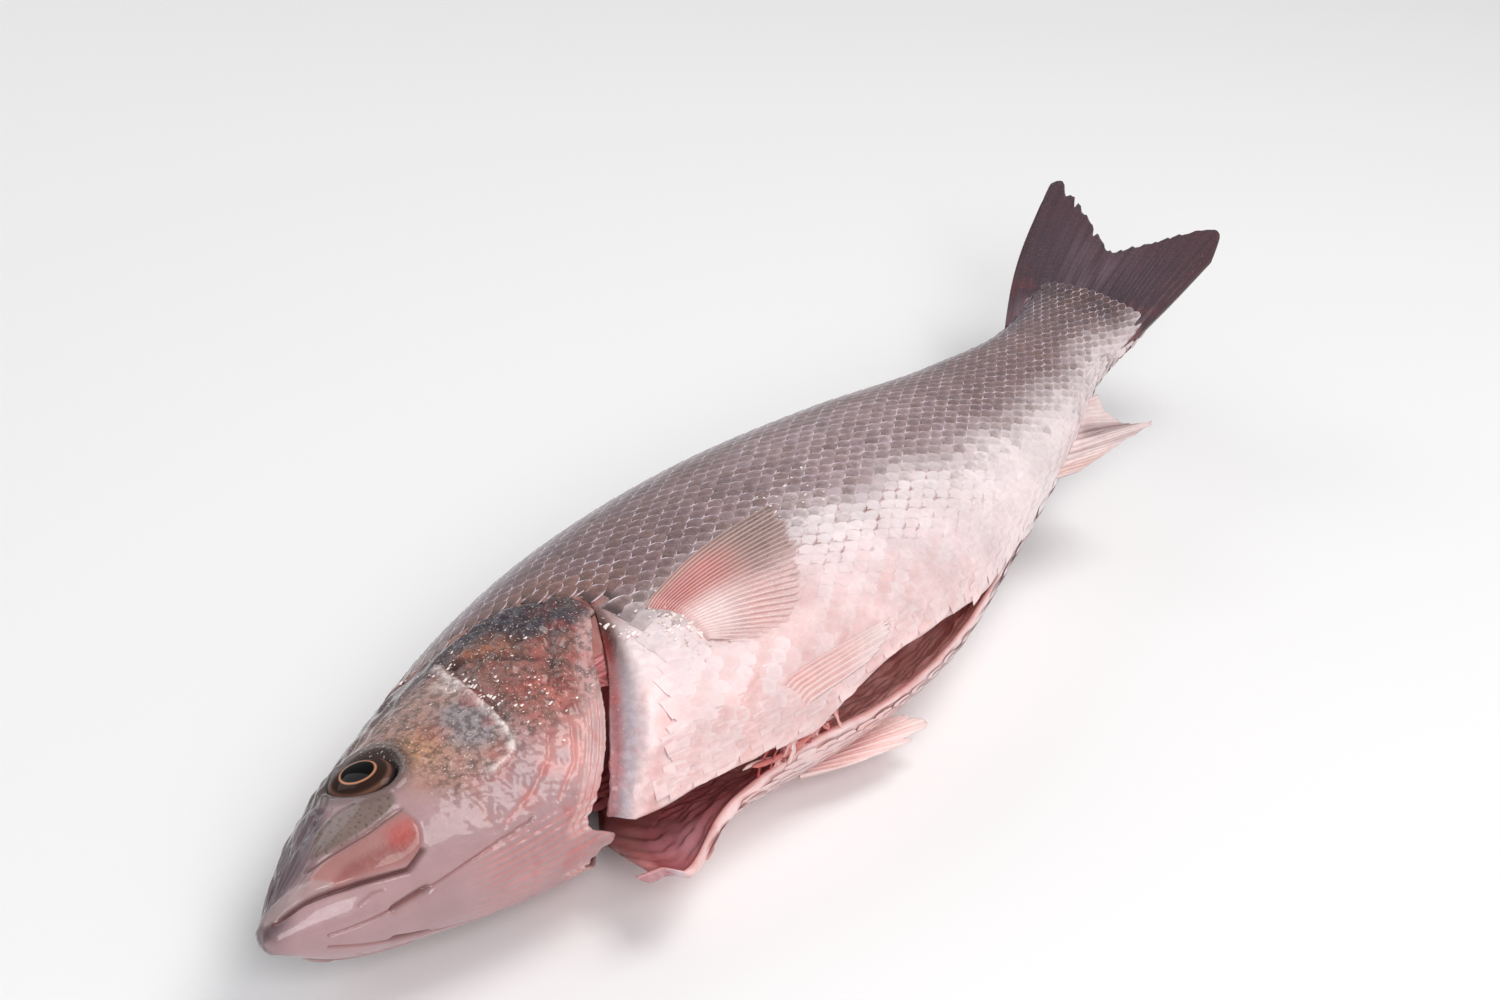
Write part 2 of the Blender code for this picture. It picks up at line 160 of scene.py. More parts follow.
@dataclass(frozen=True)
class FishShape:
    """The body's true form, and the way from the fish's own terms to metres on the table."""

    length: float = 0.41
    plane_height: float = 0.0605
    centre_u: float = 0.5095
    centre_v: float = 0.00599
    bend_start: float = 0.35
    bend_span: float = 0.42
    tail_lift: float = 0.0678
    tail_to_back: float = 0.0367
    widest_share: float = 0.52
    belly_fullness: float = 0.85
    flap_droop: float = 0.042
    back: Curve = field(default_factory=lambda: Curve(STATIONS, 1))
    belly: Curve = field(default_factory=lambda: Curve(STATIONS, 2))
    half_width: Curve = field(default_factory=lambda: Curve(STATIONS, 3))

    def middle(self, u: Array) -> Array:
        """The height v of the widest line."""
        return self.belly(u) + (self.back(u) - self.belly(u)) * self.widest_share

    def skin(self, u: Array, angle: Array, depth: Array = 0.0) -> Array:
        """Points on or below the skin.

        Args:
            u: Shares along the body.
            angle: Degrees round the body.
            depth: How far below the skin, as shares of the length.

        Returns:
            Points (u, v, w), in the last axis.
        """
        u, angle, depth = np.broadcast_arrays(np.asarray(u, float), angle, depth)
        back, belly, mid = self.back(u), self.belly(u), self.middle(u)
        turn = np.radians(angle)
        c, s = np.cos(turn), np.sin(turn)
        v = mid + np.where(c > 0, back - mid, mid - belly) * c
        w = self.half_width(u) * np.sign(s) * np.abs(s) ** np.where(c > 0, 1.0, self.belly_fullness)
        along = np.clip((u - 0.164) / 0.014, 0, 1) * bell(np.maximum(u, 0.192), 0.192, 0.055)
        around = np.mod(angle, 360)
        v = v - self.flap_droop * along * bell(around, 196, 17) * smooth(around, 181, 190)
        size = np.maximum(np.hypot(mid - v, w), 1e-6)
        return np.stack([u, v + (mid - v) / size * depth, w - w / size * depth], axis=-1)

    def on_flank(self, u: Array, v: Array, side: int, lift: Array = 0.0) -> Array:
        """Points over one flank at the height v; side is 1 for the left one."""
        back, belly, mid = self.back(u), self.belly(u), self.middle(u)
        c = np.clip((v - mid) / np.where(v > mid, back - mid, mid - belly), -1, 1)
        s = np.sqrt(1 - c * c)
        w = self.half_width(u) * s ** np.where(c > 0, 1.0, self.belly_fullness)
        return np.stack(np.broadcast_arrays(u, v, side * (w + lift)), axis=-1)

    def angle_at(self, u: Array, v: Array) -> Array:
        """The angle on the left flank at the height v."""
        mid = self.middle(u)
        rise = np.where(v > mid, self.back(u) - mid, mid - self.belly(u))
        return np.degrees(np.arccos(np.clip((v - mid) / rise, -1, 1)))

    def place(self, points: Array) -> Array:
        """Turns points (u, v, w) into metres, bent and laid on the table."""
        p = np.asarray(points, float)
        behind = np.clip(p[..., 0] - self.bend_start, 0, None) ** 2 / self.bend_span
        x = p[..., 0] - self.centre_u
        y = p[..., 1] + self.tail_to_back * behind - self.centre_v
        z = p[..., 2] + self.tail_lift * behind + self.plane_height
        z = np.where(z < 0.004, 0.004 * np.exp(np.minimum(z, 0.004) / 0.004 - 1), z)
        return self.length * np.stack([x, y, z], axis=-1)

    def normal(self, u: Array, angle: Array) -> tuple[Array, Array, Array]:
        """The directions along, round and out of the placed skin.

        Args:
            u: Shares along the body.
            angle: Degrees round the body.

        Returns:
            Unit vectors towards the tail, round the body and outwards.
        """
        along = self.place(self.skin(u + 0.002, angle)) - self.place(self.skin(u - 0.002, angle))
        round_it = self.place(self.skin(u, angle + 1.0)) - self.place(self.skin(u, angle - 1.0))
        out = np.cross(along, round_it)
        outward = self.place(self.skin(u, angle)) - self.place(self.skin(u, angle, 0.01))
        out *= np.sign(np.sum(out * outward, axis=-1, keepdims=True))
        along = along / np.linalg.norm(along, axis=-1, keepdims=True)
        out = out / np.maximum(np.linalg.norm(out, axis=-1, keepdims=True), 1e-9)
        return along, np.cross(out, along), out


SHAPE = FishShape()
HEAD_SHAPE = FishShape(flap_droop=0.0)

NAPE_LINE = ((0, 0.172), (25, 0.180), (40, 0.197), (48, 0.228), (56, 0.254), (70, 0.272))
COVER_EDGE = Curve(
    NAPE_LINE
    + ((80, 0.282), (92, 0.266), (100, 0.249), (111, 0.233), (122, 0.219), (134, 0.204), (144, 0.192))
    + ((156, 0.179), (166, 0.169), (172, 0.172), (180, 0.187))
)
SHOULDER_FRONT = Curve(
    NAPE_LINE
    + ((82, 0.283), (94, 0.272), (104, 0.258), (114, 0.243), (124, 0.228), (138, 0.212), (147, 0.204))
    + ((164, 0.195), (180, 0.192))
)
SHOULDER_RIDGE = Curve(
    NAPE_LINE + (
        (82, 0.284), (98, 0.276), (109, 0.265), (124, 0.247), (143, 0.226), (160, 0.207), (180, 0.198)
    )
)
BELLY_CUT = (
    (0.180, 0.004, -0.012),
    (0.215, 0.006, -0.014),
    (0.243, 0.009, -0.014),
    (0.300, 0.010, -0.010),
    (0.335, 0.008, -0.002),
    (0.366, 0.017, -0.003),
    (0.400, 0.023, -0.007),
    (0.440, 0.022, -0.008),
    (0.480, 0.018, -0.006),
    (0.530, 0.008, -0.003),
    (0.572, 0.0015, -0.0015),
    (0.590, 0.0, 0.0),
)
CAVITY = (
    (0.135, 0.010, 0.010),
    (0.20, 0.016, 0.010),
    (0.26, 0.008, 0.013),
    (0.34, -0.006, 0.014),
    (0.46, -0.020, 0.012),
    (0.58, -0.045, 0.009),
)
BACK_BORDER = Curve(
    ((0, -0.016), (0.05, 0.002), (0.10, 0.036), (0.15, 0.044), (0.21, 0.050), (0.25, 0.016), (0.30, -0.014))
    + ((0.38, -0.006), (0.46, -0.016), (0.56, -0.026), (0.66, -0.038), (0.81, -0.030), (0.87, -0.030))
)


class Slot(Enum):
    """Names for material slots; no piece here is given one."""

    SKIN = "skin"
    FIN = "fin"
    FLESH = "flesh"
    EYE = "eye"


class Wiring:
    """Adds nodes to one tree, and links them."""

    def __init__(self, tree: bpy.types.NodeTree) -> None:
        """Keeps the tree."""
        self.tree = tree

    def add(self, kind: str, values: Optional[dict] = None, **settings: object) -> bpy.types.Node:
        """Adds a node.

        Args:
            kind: The node's type.
            values: Socket name or index to a plain value or another node's output.
            **settings: The node's own properties.

        Returns:
            The new node.
        """
        node = self.tree.nodes.new(kind)
        for name, value in settings.items():
            setattr(node, name, value)
        for name, value in (values or {}).items():
            self.put(node.inputs[name], value)
        return node

    def put(self, socket: bpy.types.NodeSocket, value: object) -> None:
        """Links an output to a socket, or sets the socket's own value."""
        if isinstance(value, bpy.types.NodeSocket):
            self.tree.links.new(value, socket)
        else:
            socket.default_value = value

    def math(self, operation: str, a: object, b: object = 0.0) -> bpy.types.NodeSocket:
        """A sum of two numbers, or another operation on them."""
        return self.add("ShaderNodeMath", {0: a, 1: b}, operation=operation).outputs[0]

    def mix(self, share: object, a: object, b: object, how: str = "MIX") -> bpy.types.NodeSocket:
        """A mix of two colours."""
        node = self.add("ShaderNodeMix", {0: share, 6: a, 7: b}, data_type="RGBA", blend_type=how)
        return node.outputs[2]

    def fit(
        self, value: object, low: float, high: float, to_low: float, to_high: float
    ) -> bpy.types.NodeSocket:
        """Carries a number from one range to another, held at its ends."""
        wanted = {"Value": value, "From Min": low, "From Max": high, "To Min": to_low, "To Max": to_high}
        return self.add("ShaderNodeMapRange", wanted, clamp=True, interpolation_type="SMOOTHSTEP").outputs[0]

    def noise(self, scale: float, where: object, detail: float = 3.0) -> bpy.types.NodeSocket:
        """Noise about 0.5, at a number of blotches to a metre."""
        wanted = {"Vector": where, "Scale": scale, "Detail": detail, "Roughness": 0.55}
        return self.add("ShaderNodeTexNoise", wanted).outputs[0]


def rgba(colour: Colour) -> tuple[float, float, float, float]:
    """A colour with full alpha."""
    return (*colour, 1.0)


class WetTone:
    """A shader node group that breaks up a tint the way wet skin does, with pale specks painted in as glints.
    """

    NAME = "wet tone"

    @classmethod
    def tree(cls) -> bpy.types.NodeTree:
        """The group, made once.

        Returns:
            Its tree, with the inputs Tint, Grain and Blood and the outputs Colour, Roughness and Height.
        """
        if cls.NAME in bpy.data.node_groups:
            return bpy.data.node_groups[cls.NAME]
        made = bpy.data.node_groups.new(cls.NAME, "ShaderNodeTree")
        made.interface.new_socket("Tint", in_out="INPUT", socket_type="NodeSocketColor")
        for name in ("GrainAndGlint", "Blood"):
            made.interface.new_socket(name, in_out="INPUT", socket_type="NodeSocketFloat")
        made.interface.new_socket("Colour", in_out="OUTPUT", socket_type="NodeSocketColor")
        for name in ("Roughness", "Height"):
            made.interface.new_socket(name, in_out="OUTPUT", socket_type="NodeSocketFloat")
        w = Wiring(made)
        given = w.add("NodeGroupInput").outputs
        where = w.add("ShaderNodeTexCoord").outputs["Object"]
        broad = w.noise(70, where)
        fine = w.noise(520, where, 4.0)
        speck = w.noise(1900, where, 2.0)
        cloud = w.fit(broad, 0.3, 0.7, 0.91, 1.07)
        colour = w.mix(
            1.0, given["Tint"], w.add("ShaderNodeCombineColor", {0: cloud, 1: cloud, 2: cloud}).outputs[0],
            "MULTIPLY",
        )
        dark = w.math("MULTIPLY", w.fit(fine, 0.40, 0.62, 0.0, 1.0), given["GrainAndGlint"])
        colour = w.mix(w.math("MULTIPLY", dark, 0.55), colour, rgba(tone(62, 44, 40)))
        # Painted glints: pale specks mixed into the colour; the same specks are also glossier and raised.
        glint = w.math("MULTIPLY", w.fit(speck, 0.60, 0.72, 0.0, 1.0), given["GrainAndGlint"])
        colour = w.mix(w.math("MULTIPLY", glint, 0.75), colour, rgba(tone(255, 232, 214)))
        vein = w.fit(w.noise(150, where, 5.0), 0.50, 0.66, 0.0, 1.0)
        colour = w.mix(w.math("MULTIPLY", vein, given["Blood"]), colour, rgba(tone(196, 84, 74)))
        rough = w.math("SUBTRACT", w.fit(fine, 0.3, 0.7, 0.46, 0.30), w.math("MULTIPLY", glint, 0.2))
        height = w.math("ADD", w.math("MULTIPLY", fine, 0.7), w.math("MULTIPLY", glint, 0.5))
        w.add("NodeGroupOutput", {"Colour": colour, "Roughness": rough, "Height": height})
        return made


@dataclass(frozen=True)
class WetFinish:
    """A wet surface: what lies under its film of water differs from piece to piece."""

    name: str
    film: float = 0.55
    film_roughness: float = 0.10
    film_index: float = 1.33
    base_gloss: float = 0.35
    bump: float = 0.00012
    under: float = 0.10
    grain_and_glint: float = 1.0

    def start(self) -> tuple[Wiring, bpy.types.Node, bpy.types.Material]:
        """Makes the material with its wet shader.

        Returns:
            The wiring, the shader's node and the material.
        """
        made = bpy.data.materials.new(self.name)
        made.use_nodes = True
        w = Wiring(made.node_tree)
        shader = made.node_tree.nodes["Principled BSDF"]
        shader.inputs["Coat Weight"].default_value = self.film
        shader.inputs["Coat Roughness"].default_value = self.film_roughness
        shader.inputs["Coat IOR"].default_value = self.film_index
        shader.inputs["Specular IOR Level"].default_value = self.base_gloss
        shader.inputs["Subsurface Weight"].default_value = self.under
        shader.inputs["Subsurface Radius"].default_value = (0.004, 0.0016, 0.0010)
        shader.inputs["Subsurface Scale"].default_value = 1.0
        return w, shader, made

    def wet(self, w: Wiring, tint: bpy.types.NodeSocket) -> bpy.types.Node:
        """Adds the shared wet tone to a tint."""
        # This strength sets both the dark flecks and the painted glints.
        grain_and_glint = w.add("ShaderNodeAttribute", attribute_name="grain_and_glint").outputs["Fac"]
        blood = w.add("ShaderNodeAttribute", attribute_name="blood").outputs["Fac"]
        values = {"Tint": tint, "GrainAndGlint": w.math("MULTIPLY", grain_and_glint, self.grain_and_glint), "Blood": blood}
        group = w.tree.nodes.new("ShaderNodeGroup")
        group.node_tree = WetTone.tree()
        for name, value in values.items():
            w.put(group.inputs[name], value)
        return group

    def close(self, w: Wiring, shader: bpy.types.Node, group: bpy.types.Node, height: object = None) -> None:
        """Links the wet tone to the shader."""
        bump = {"Height": height or group.outputs["Height"], "Distance": self.bump * 4, "Strength": 0.6}
        w.put(shader.inputs["Roughness"], group.outputs["Roughness"])
        w.put(shader.inputs["Normal"], w.add("ShaderNodeBump", bump).outputs[0])

    def material(self) -> bpy.types.Material:
        """The finish for a piece whose own colours are in its tint."""
        w, shader, made = self.start()
        tint = w.add("ShaderNodeAttribute", attribute_name="tint").outputs["Color"]
        group = self.wet(w, tint)
        w.put(shader.inputs["Base Color"], group.outputs["Colour"])
        self.close(w, shader, group)
        return made


@dataclass(frozen=True)
class ScaleFinish(WetFinish):
    """Scales: dark middles and pale rims on the back, pale with reddish rims on the flank; each scale is
    painted darker towards its root as shade under the scale in front, the pale rims are partly a painted
    highlight, and the reddish rims are painted shadow lines.
    """

    def material(self) -> bpy.types.Material:
        """The scales' finish, read from each one's own map and tint.

        Returns:
            The material.
        """
        w, shader, made = self.start()
        tint = w.add("ShaderNodeAttribute", attribute_name="tint").outputs["Color"]
        shade = w.add("ShaderNodeAttribute", attribute_name="shade").outputs["Fac"]
        group = self.wet(w, tint)
        shadow_crescent = w.add("ShaderNodeAttribute", attribute_name="shadow_crescent").outputs["Fac"]
        place = w.add("ShaderNodeSeparateXYZ", {0: w.add("ShaderNodeUVMap", uv_map="plate").outputs[0]})
        along, across = place.outputs[0], place.outputs[1]
        side = w.math("ABSOLUTE", w.math("SUBTRACT", w.math("MULTIPLY", across, 2.0), 1.0))
        edge = w.math("MAXIMUM", w.fit(side, 0.74, 0.95, 0.0, 1.0), w.fit(along, 0.93, 0.99, 0.0, 1.0))
        inner = w.math("MAXIMUM", w.fit(side, 0.30, 0.75, 0.0, 1.0), w.fit(along, 0.70, 0.92, 0.0, 1.0))
        where = w.add("ShaderNodeTexCoord").outputs["Object"]
        broken = w.fit(w.noise(300, where, 3.0), 0.42, 0.60, 0.15, 1.0)
        rim = w.math("MULTIPLY", edge, broken)
        # Painted shade: each scale darker towards its root, where the scale in front overlaps it.
        root = w.fit(along, 0.10, 0.60, 1.0, 0.0)
        line = w.math("SINE", w.math("MULTIPLY", across, 52.0))
        streak = w.fit(line, 0.2, 1.0, 0.0, 0.20)
        dark = w.mix(w.math("MULTIPLY", root, 0.85), group.outputs["Colour"], rgba(tone(52, 38, 40)))
        dark = w.mix(w.math("MULTIPLY", w.math("SUBTRACT", 1.0, inner), 0.35), dark, rgba(tone(84, 64, 60)))
        dark = w.mix(streak, dark, rgba(tone(92, 74, 76)))
        # Pale rims on the dark scales: partly their own pale edges, partly a painted highlight along them.
        dark = w.mix(w.math("MULTIPLY", rim, 0.88), dark, rgba(tone(246, 228, 238)))
        pale = w.mix(w.math("MULTIPLY", inner, 0.10), group.outputs["Colour"], rgba(tone(255, 250, 250)))
        # Painted shadow: reddish-brown arcs along the pale scales' free edges, standing for the shadow lines
        # there.
        shadow_arc = w.math("MULTIPLY", w.math("MULTIPLY", w.fit(side, 0.50, 0.92, 0.0, 1.0), broken), shadow_crescent)
        pale = w.mix(shadow_arc, pale, rgba(tone(150, 92, 84)))
        w.put(shader.inputs["Base Color"], w.mix(shade, pale, dark))
        self.close(w, shader, group)
        return made


@dataclass(frozen=True)
class FinFinish(WetFinish):
    """Fins: rays over a membrane that is clear at its tip."""

    ray: Colour = (0.8, 0.7, 0.7)
    ray_share: float = 0.6
    hatch: float = 0.0

    def material(self) -> bpy.types.Material:
        """The fin's finish, read from its own map.

        Returns:
            The material.
        """
        w, shader, made = self.start()
        tint = w.add("ShaderNodeAttribute", attribute_name="tint").outputs["Color"]
        clear = w.add("ShaderNodeAttribute", attribute_name="clear").outputs["Fac"]
        group = self.wet(w, tint)
        place = w.add("ShaderNodeSeparateXYZ", {0: w.add("ShaderNodeUVMap", uv_map="rays").outputs[0]})
        wave = w.math("COSINE", w.math("MULTIPLY", place.outputs[0], 2 * math.pi))
        fine = w.math("COSINE", w.math("MULTIPLY", place.outputs[0], 8 * math.pi))
        rays = w.fit(wave, 0.1, 0.9, 0.0, 1.0)
        threads = w.fit(fine, -0.2, 0.9, 0.0, 0.45)
        share = w.math("MULTIPLY", w.math("MAXIMUM", rays, threads), self.ray_share)
        bars = w.fit(w.math("SINE", w.math("MULTIPLY", place.outputs[1], 150.0)), 0.0, 0.9, 0.0, 1.0)
        gaps = w.fit(fine, -0.9, -0.1, 1.0, 0.0)
        net = w.math(
            "MULTIPLY", w.math("MAXIMUM", bars, gaps), w.fit(place.outputs[1], 0.42, 0.80, 0.0, self.hatch)
        )
        colour = w.mix(share, group.outputs["Colour"], rgba(self.ray))
        w.put(shader.inputs["Base Color"], w.mix(net, colour, rgba(tone(112, 90, 84))))
        open_part = w.math("MULTIPLY", clear, w.math("SUBTRACT", 1.0, w.math("MULTIPLY", rays, 0.7)))
        w.put(shader.inputs["Alpha"], w.math("SUBTRACT", 1.0, open_part))
        self.close(w, shader, group)
        return made


def mesh_piece(
    name: str,
    points: Array,
    faces: Sequence[Sequence[int]],
    numbers: Optional[dict[str, Array]] = None,
    tints: Optional[Array] = None,
    plan: Optional[tuple[str, Array]] = None,
    weld: float = 0.0,
) -> bpy.types.Object:
    """Makes a mesh object from points in metres.

    Args:
        name: The piece's name.
        points: Its points, in metres.
        faces: Its faces, as indices.
        numbers: Named numbers, one for each point.
        tints: A linear colour for each point.
        plan: A map's name and its coordinates for each point.
        weld: Points closer than this become one.

    Returns:
        The linked object, shaded smooth, with its faces outwards.
    """
    mesh = bpy.data.meshes.new(name)
    mesh.from_pydata([tuple(p) for p in np.asarray(points).reshape(-1, 3)], [], [tuple(f) for f in faces])
    for key, values in (numbers or {}).items():
        mesh.attributes.new(key, "FLOAT", "POINT").data.foreach_set(
            "value", np.asarray(values, np.float32).ravel()
        )
    if tints is not None:
        full = np.concatenate([tints.reshape(-1, 3), np.ones((tints.size // 3, 1))], axis=1)
        mesh.attributes.new("tint", "FLOAT_COLOR", "POINT").data.foreach_set(
            "color", full.astype(np.float32).ravel()
        )
    if plan is not None:
        corners = np.empty(len(mesh.loops), np.int32)
        mesh.loops.foreach_get("vertex_index", corners)
        layer = mesh.uv_layers.new(name=plan[0])
        layer.data.foreach_set("uv", np.asarray(plan[1], np.float32).reshape(-1, 2)[corners].ravel())
    work = bmesh.new()
    work.from_mesh(mesh)
    if weld:
        bmesh.ops.remove_doubles(work, verts=work.verts, dist=weld)
        bmesh.ops.dissolve_degenerate(work, edges=work.edges, dist=1e-7)
    bmesh.ops.recalc_face_normals(work, faces=work.faces)
    work.to_mesh(mesh)
    work.free()
    mesh.shade_smooth()
    made = bpy.data.objects.new(name, mesh)
    bpy.context.scene.collection.objects.link(made)
    return made


def dress(piece: bpy.types.Object, material: bpy.types.Material) -> bpy.types.Object:
    """Gives a piece its material and its body."""
    piece.data.materials.clear()
    piece.data.materials.append(material)
    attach(piece, "root")
    return piece


def grid_faces(rows: int, columns: int, start: int = 0) -> list[tuple[int, int, int, int]]:
    """The quads of a grid of points kept row by row.

    Args:
        rows: Number of rows.
        columns: Number of columns.
        start: Index of its first point.

    Returns:
        The quads.
    """
    index = start + np.arange(rows * columns).reshape(rows, columns)
    quads = np.stack([index[:-1, :-1], index[:-1, 1:], index[1:, 1:], index[1:, :-1]], axis=-1)
    return [tuple(q) for q in quads.reshape(-1, 4).tolist()]


@dataclass(frozen=True)
class Stroke:
    """A crease or a ridge along a line of (u, v) on the head; a sunken crease's dark colour is painted shade
    in it.
    """

    line: tuple[tuple[float, float], ...]
    width: float
    height: float
    colour: Optional[Colour] = None
    share: float = 0.0
    by_angle: bool = False
    teeth: float = 0.0

    def nearness(self, skin: Array) -> Array:
        """1 on the line, falling to nothing beyond its width; both flanks have the line.

        Args:
            skin: Points (u, v, w) of the skin.

        Returns:
            The nearness at each point.
        """
        knots = np.array(self.line)
        way = np.linspace(0, len(knots) - 1, 5 * len(knots))
        u = np.interp(way, np.arange(len(knots)), knots[:, 0])
        other = np.interp(way, np.arange(len(knots)), knots[:, 1])
        line = HEAD_SHAPE.skin(u, other) if self.by_angle else SHAPE.on_flank(u, other, 1)
        here = np.concatenate([skin[..., :2], np.abs(skin[..., 2:])], axis=-1)
        least, passed, so_far = np.full(here.shape[:-1], 9.0), np.zeros(here.shape[:-1]), 0.0
        for start, end in zip(line, line[1:]):
            run = end - start
            t = np.clip(((here - start) @ run) / max(float(run @ run), 1e-12), 0, 1)
            away = np.linalg.norm(here - start - t[..., None] * run, axis=-1)
            length = float(np.linalg.norm(run))
            passed = np.where(away < least, so_far + t * length, passed)
            least = np.minimum(least, away)
            so_far += length
        bite = 1 - self.teeth * (0.5 + 0.5 * np.cos(passed * 2 * math.pi / 0.0026))
        return np.exp(-((least / self.width) ** 2)) * bite


@dataclass(frozen=True)
class Plate:
    """A raised bony plate or a patch with an outline of (u, v) on the head."""

    outline: tuple[tuple[float, float], ...]
    soft: float
    height: float
    colour: Optional[Colour] = None
    share: float = 0.0

    def inside(self, u: Array, v: Array) -> Array:
        """1 well inside the outline and 0 outside it.

        Args:
            u: Shares along the body.
            v: Heights.

        Returns:
            The share at each point.
        """
        crossed = np.zeros(np.broadcast(u, v).shape, bool)
        least = np.full(crossed.shape, 9.0)
        corners = np.array(self.outline)
        for _ in range(2):
            after = np.roll(corners, -1, axis=0)
            corners = np.stack(
                [0.75 * corners + 0.25 * after, 0.25 * corners + 0.75 * after], axis=1
            ).reshape(-1, 2)
        for (a, b), (c, d) in zip(corners, np.roll(corners, -1, axis=0)):
            over = ((b > v) != (d > v)) & (u < (c - a) * (v - b) / ((d - b) or 1e-12) + a)
            crossed ^= over
            run, rise = c - a, d - b
            t = np.clip(((u - a) * run + (v - b) * rise) / (run * run + rise * rise), 0, 1)
            least = np.minimum(least, np.hypot(u - a - t * run, v - b - t * rise))
        return smooth(np.where(crossed, least, -least), -self.soft, self.soft)


MAXILLA = ((0.087, -0.017), (0.088, -0.027), (0.083, -0.036), (0.074, -0.041), (0.063, -0.039),
    (0.050, -0.033),
           (0.034, -0.026), (0.016, -0.015), (0.028, -0.010), (0.044, -0.011), (0.060, -0.014),
           (0.076, -0.016))
LACRIMAL = ((0.034, -0.004), (0.046, -0.010), (0.064, -0.0135), (0.086, -0.0155), (0.094, -0.006),
    (0.084, -0.001),
            (0.074, 0.007), (0.062, 0.010), (0.046, 0.006))
EYE_CENTRE = (0.0975, 0.0195)


@dataclass
class Markings:
    """Where the fish is dark, pale, pink or golden."""

    back: Colour = tone(140, 115, 120)
    ridge: Colour = tone(122, 106, 128)
    white: Colour = tone(252, 234, 234)
    painted_sheen: Colour = tone(234, 222, 226)
    pink: Colour = tone(226, 158, 150)
    snout: Colour = tone(88, 72, 78)
    cheek: Colour = tone(176, 138, 124)
    cheek_grey: Colour = tone(152, 146, 152)
    patch: Colour = tone(46, 44, 60)
    cover: Colour = tone(146, 98, 90)
    membrane: Colour = tone(206, 172, 170)
    jaw: Colour = tone(172, 138, 140)
    deep: Colour = tone(70, 8, 14)
    flesh: Colour = tone(255, 196, 190)

    def trunk(self, u: Array, v: Array, angle: Array) -> Array:
        """The colour of the scaled body.

        Args:
            u: Shares along the body.
            v: Heights.
            angle: Degrees round the body, 0 to 360.

        Returns:
            Linear colours.
        """
        half = np.minimum(angle, 360 - angle)
        drift = 0.006 * wander(u, v, 0.12, 3)
        dark = smooth(v + drift - BACK_BORDER(u), -0.030, 0.026)
        colour = np.ones(np.shape(u) + (3,)) * np.array(self.white)
        # A greyer silver sheen on the mid flank, painted into the colour.
        colour = blend(colour, self.painted_sheen, 0.15 * smooth(half, 125, 98) * smooth(u, 0.24, 0.4))
        low = smooth(half, 108, 142) * smooth(u, 0.60, 0.40)
        streaks = 0.5 + 0.5 * wander(u * 0.6 + v * 0.9, (v - u * 0.5) * 3.0, 0.05, 5)
        colour = blend(colour, self.pink, low * (0.22 + 0.42 * np.clip(streaks, 0, 1)))
        colour = blend(colour, self.pink, 0.55 * bell(u, 0.355, 0.05) * bell(v, -0.050, 0.026))
        colour = blend(colour, tone(240, 200, 196), 0.45 * smooth(half, 140, 170) * smooth(u, 0.70, 0.50))
        colour = blend(colour, self.back, dark)
        colour = blend(colour, tone(196, 172, 178), 0.85 * dark * bell(u, 0.53, 0.11) * smooth(half, 30, 76))
        colour = blend(colour, self.ridge, 0.8 * dark * smooth(half, 56, 18))
        nape = bell(u - SHOULDER_FRONT(half), 0.004, 0.024) * smooth(half, 106, 74)
        colour = blend(colour, tone(160, 112, 98), 0.75 * nape)
        colour = blend(colour, tone(112, 94, 104), 0.85 * smooth(u, 0.78, 0.86) * smooth(half, 128, 84))
        colour = blend(colour, tone(82, 64, 74), smooth(u, 0.838, 0.872) * smooth(half, 158, 112))
        return colour

    def shoulder(self, colour: Array, u: Array, angle: Array, slope: Array) -> Array:
        """Adds the shoulder's sloping band in front of the scales.

        Args:
            colour: Colours so far.
            u: Shares along the body.
            angle: Degrees round the body.
            slope: How far down the slope, 0 to 1.

        Returns:
            The colours with the band.
        """
        half = np.minimum(angle, 360 - angle)
        band = blend(
            np.ones(np.shape(u) + (3,)) * np.array(tone(120, 86, 82)), tone(196, 184, 192),
            smooth(half, 94, 134),
        )
        share = np.clip(slope * 2.2, 0, 1)[..., None]
        colour = colour * (1 - share) + band * share
        return blend(colour, tone(170, 60, 58), 0.7 * bell(slope, 0.9, 0.2) * smooth(half, 84, 100))


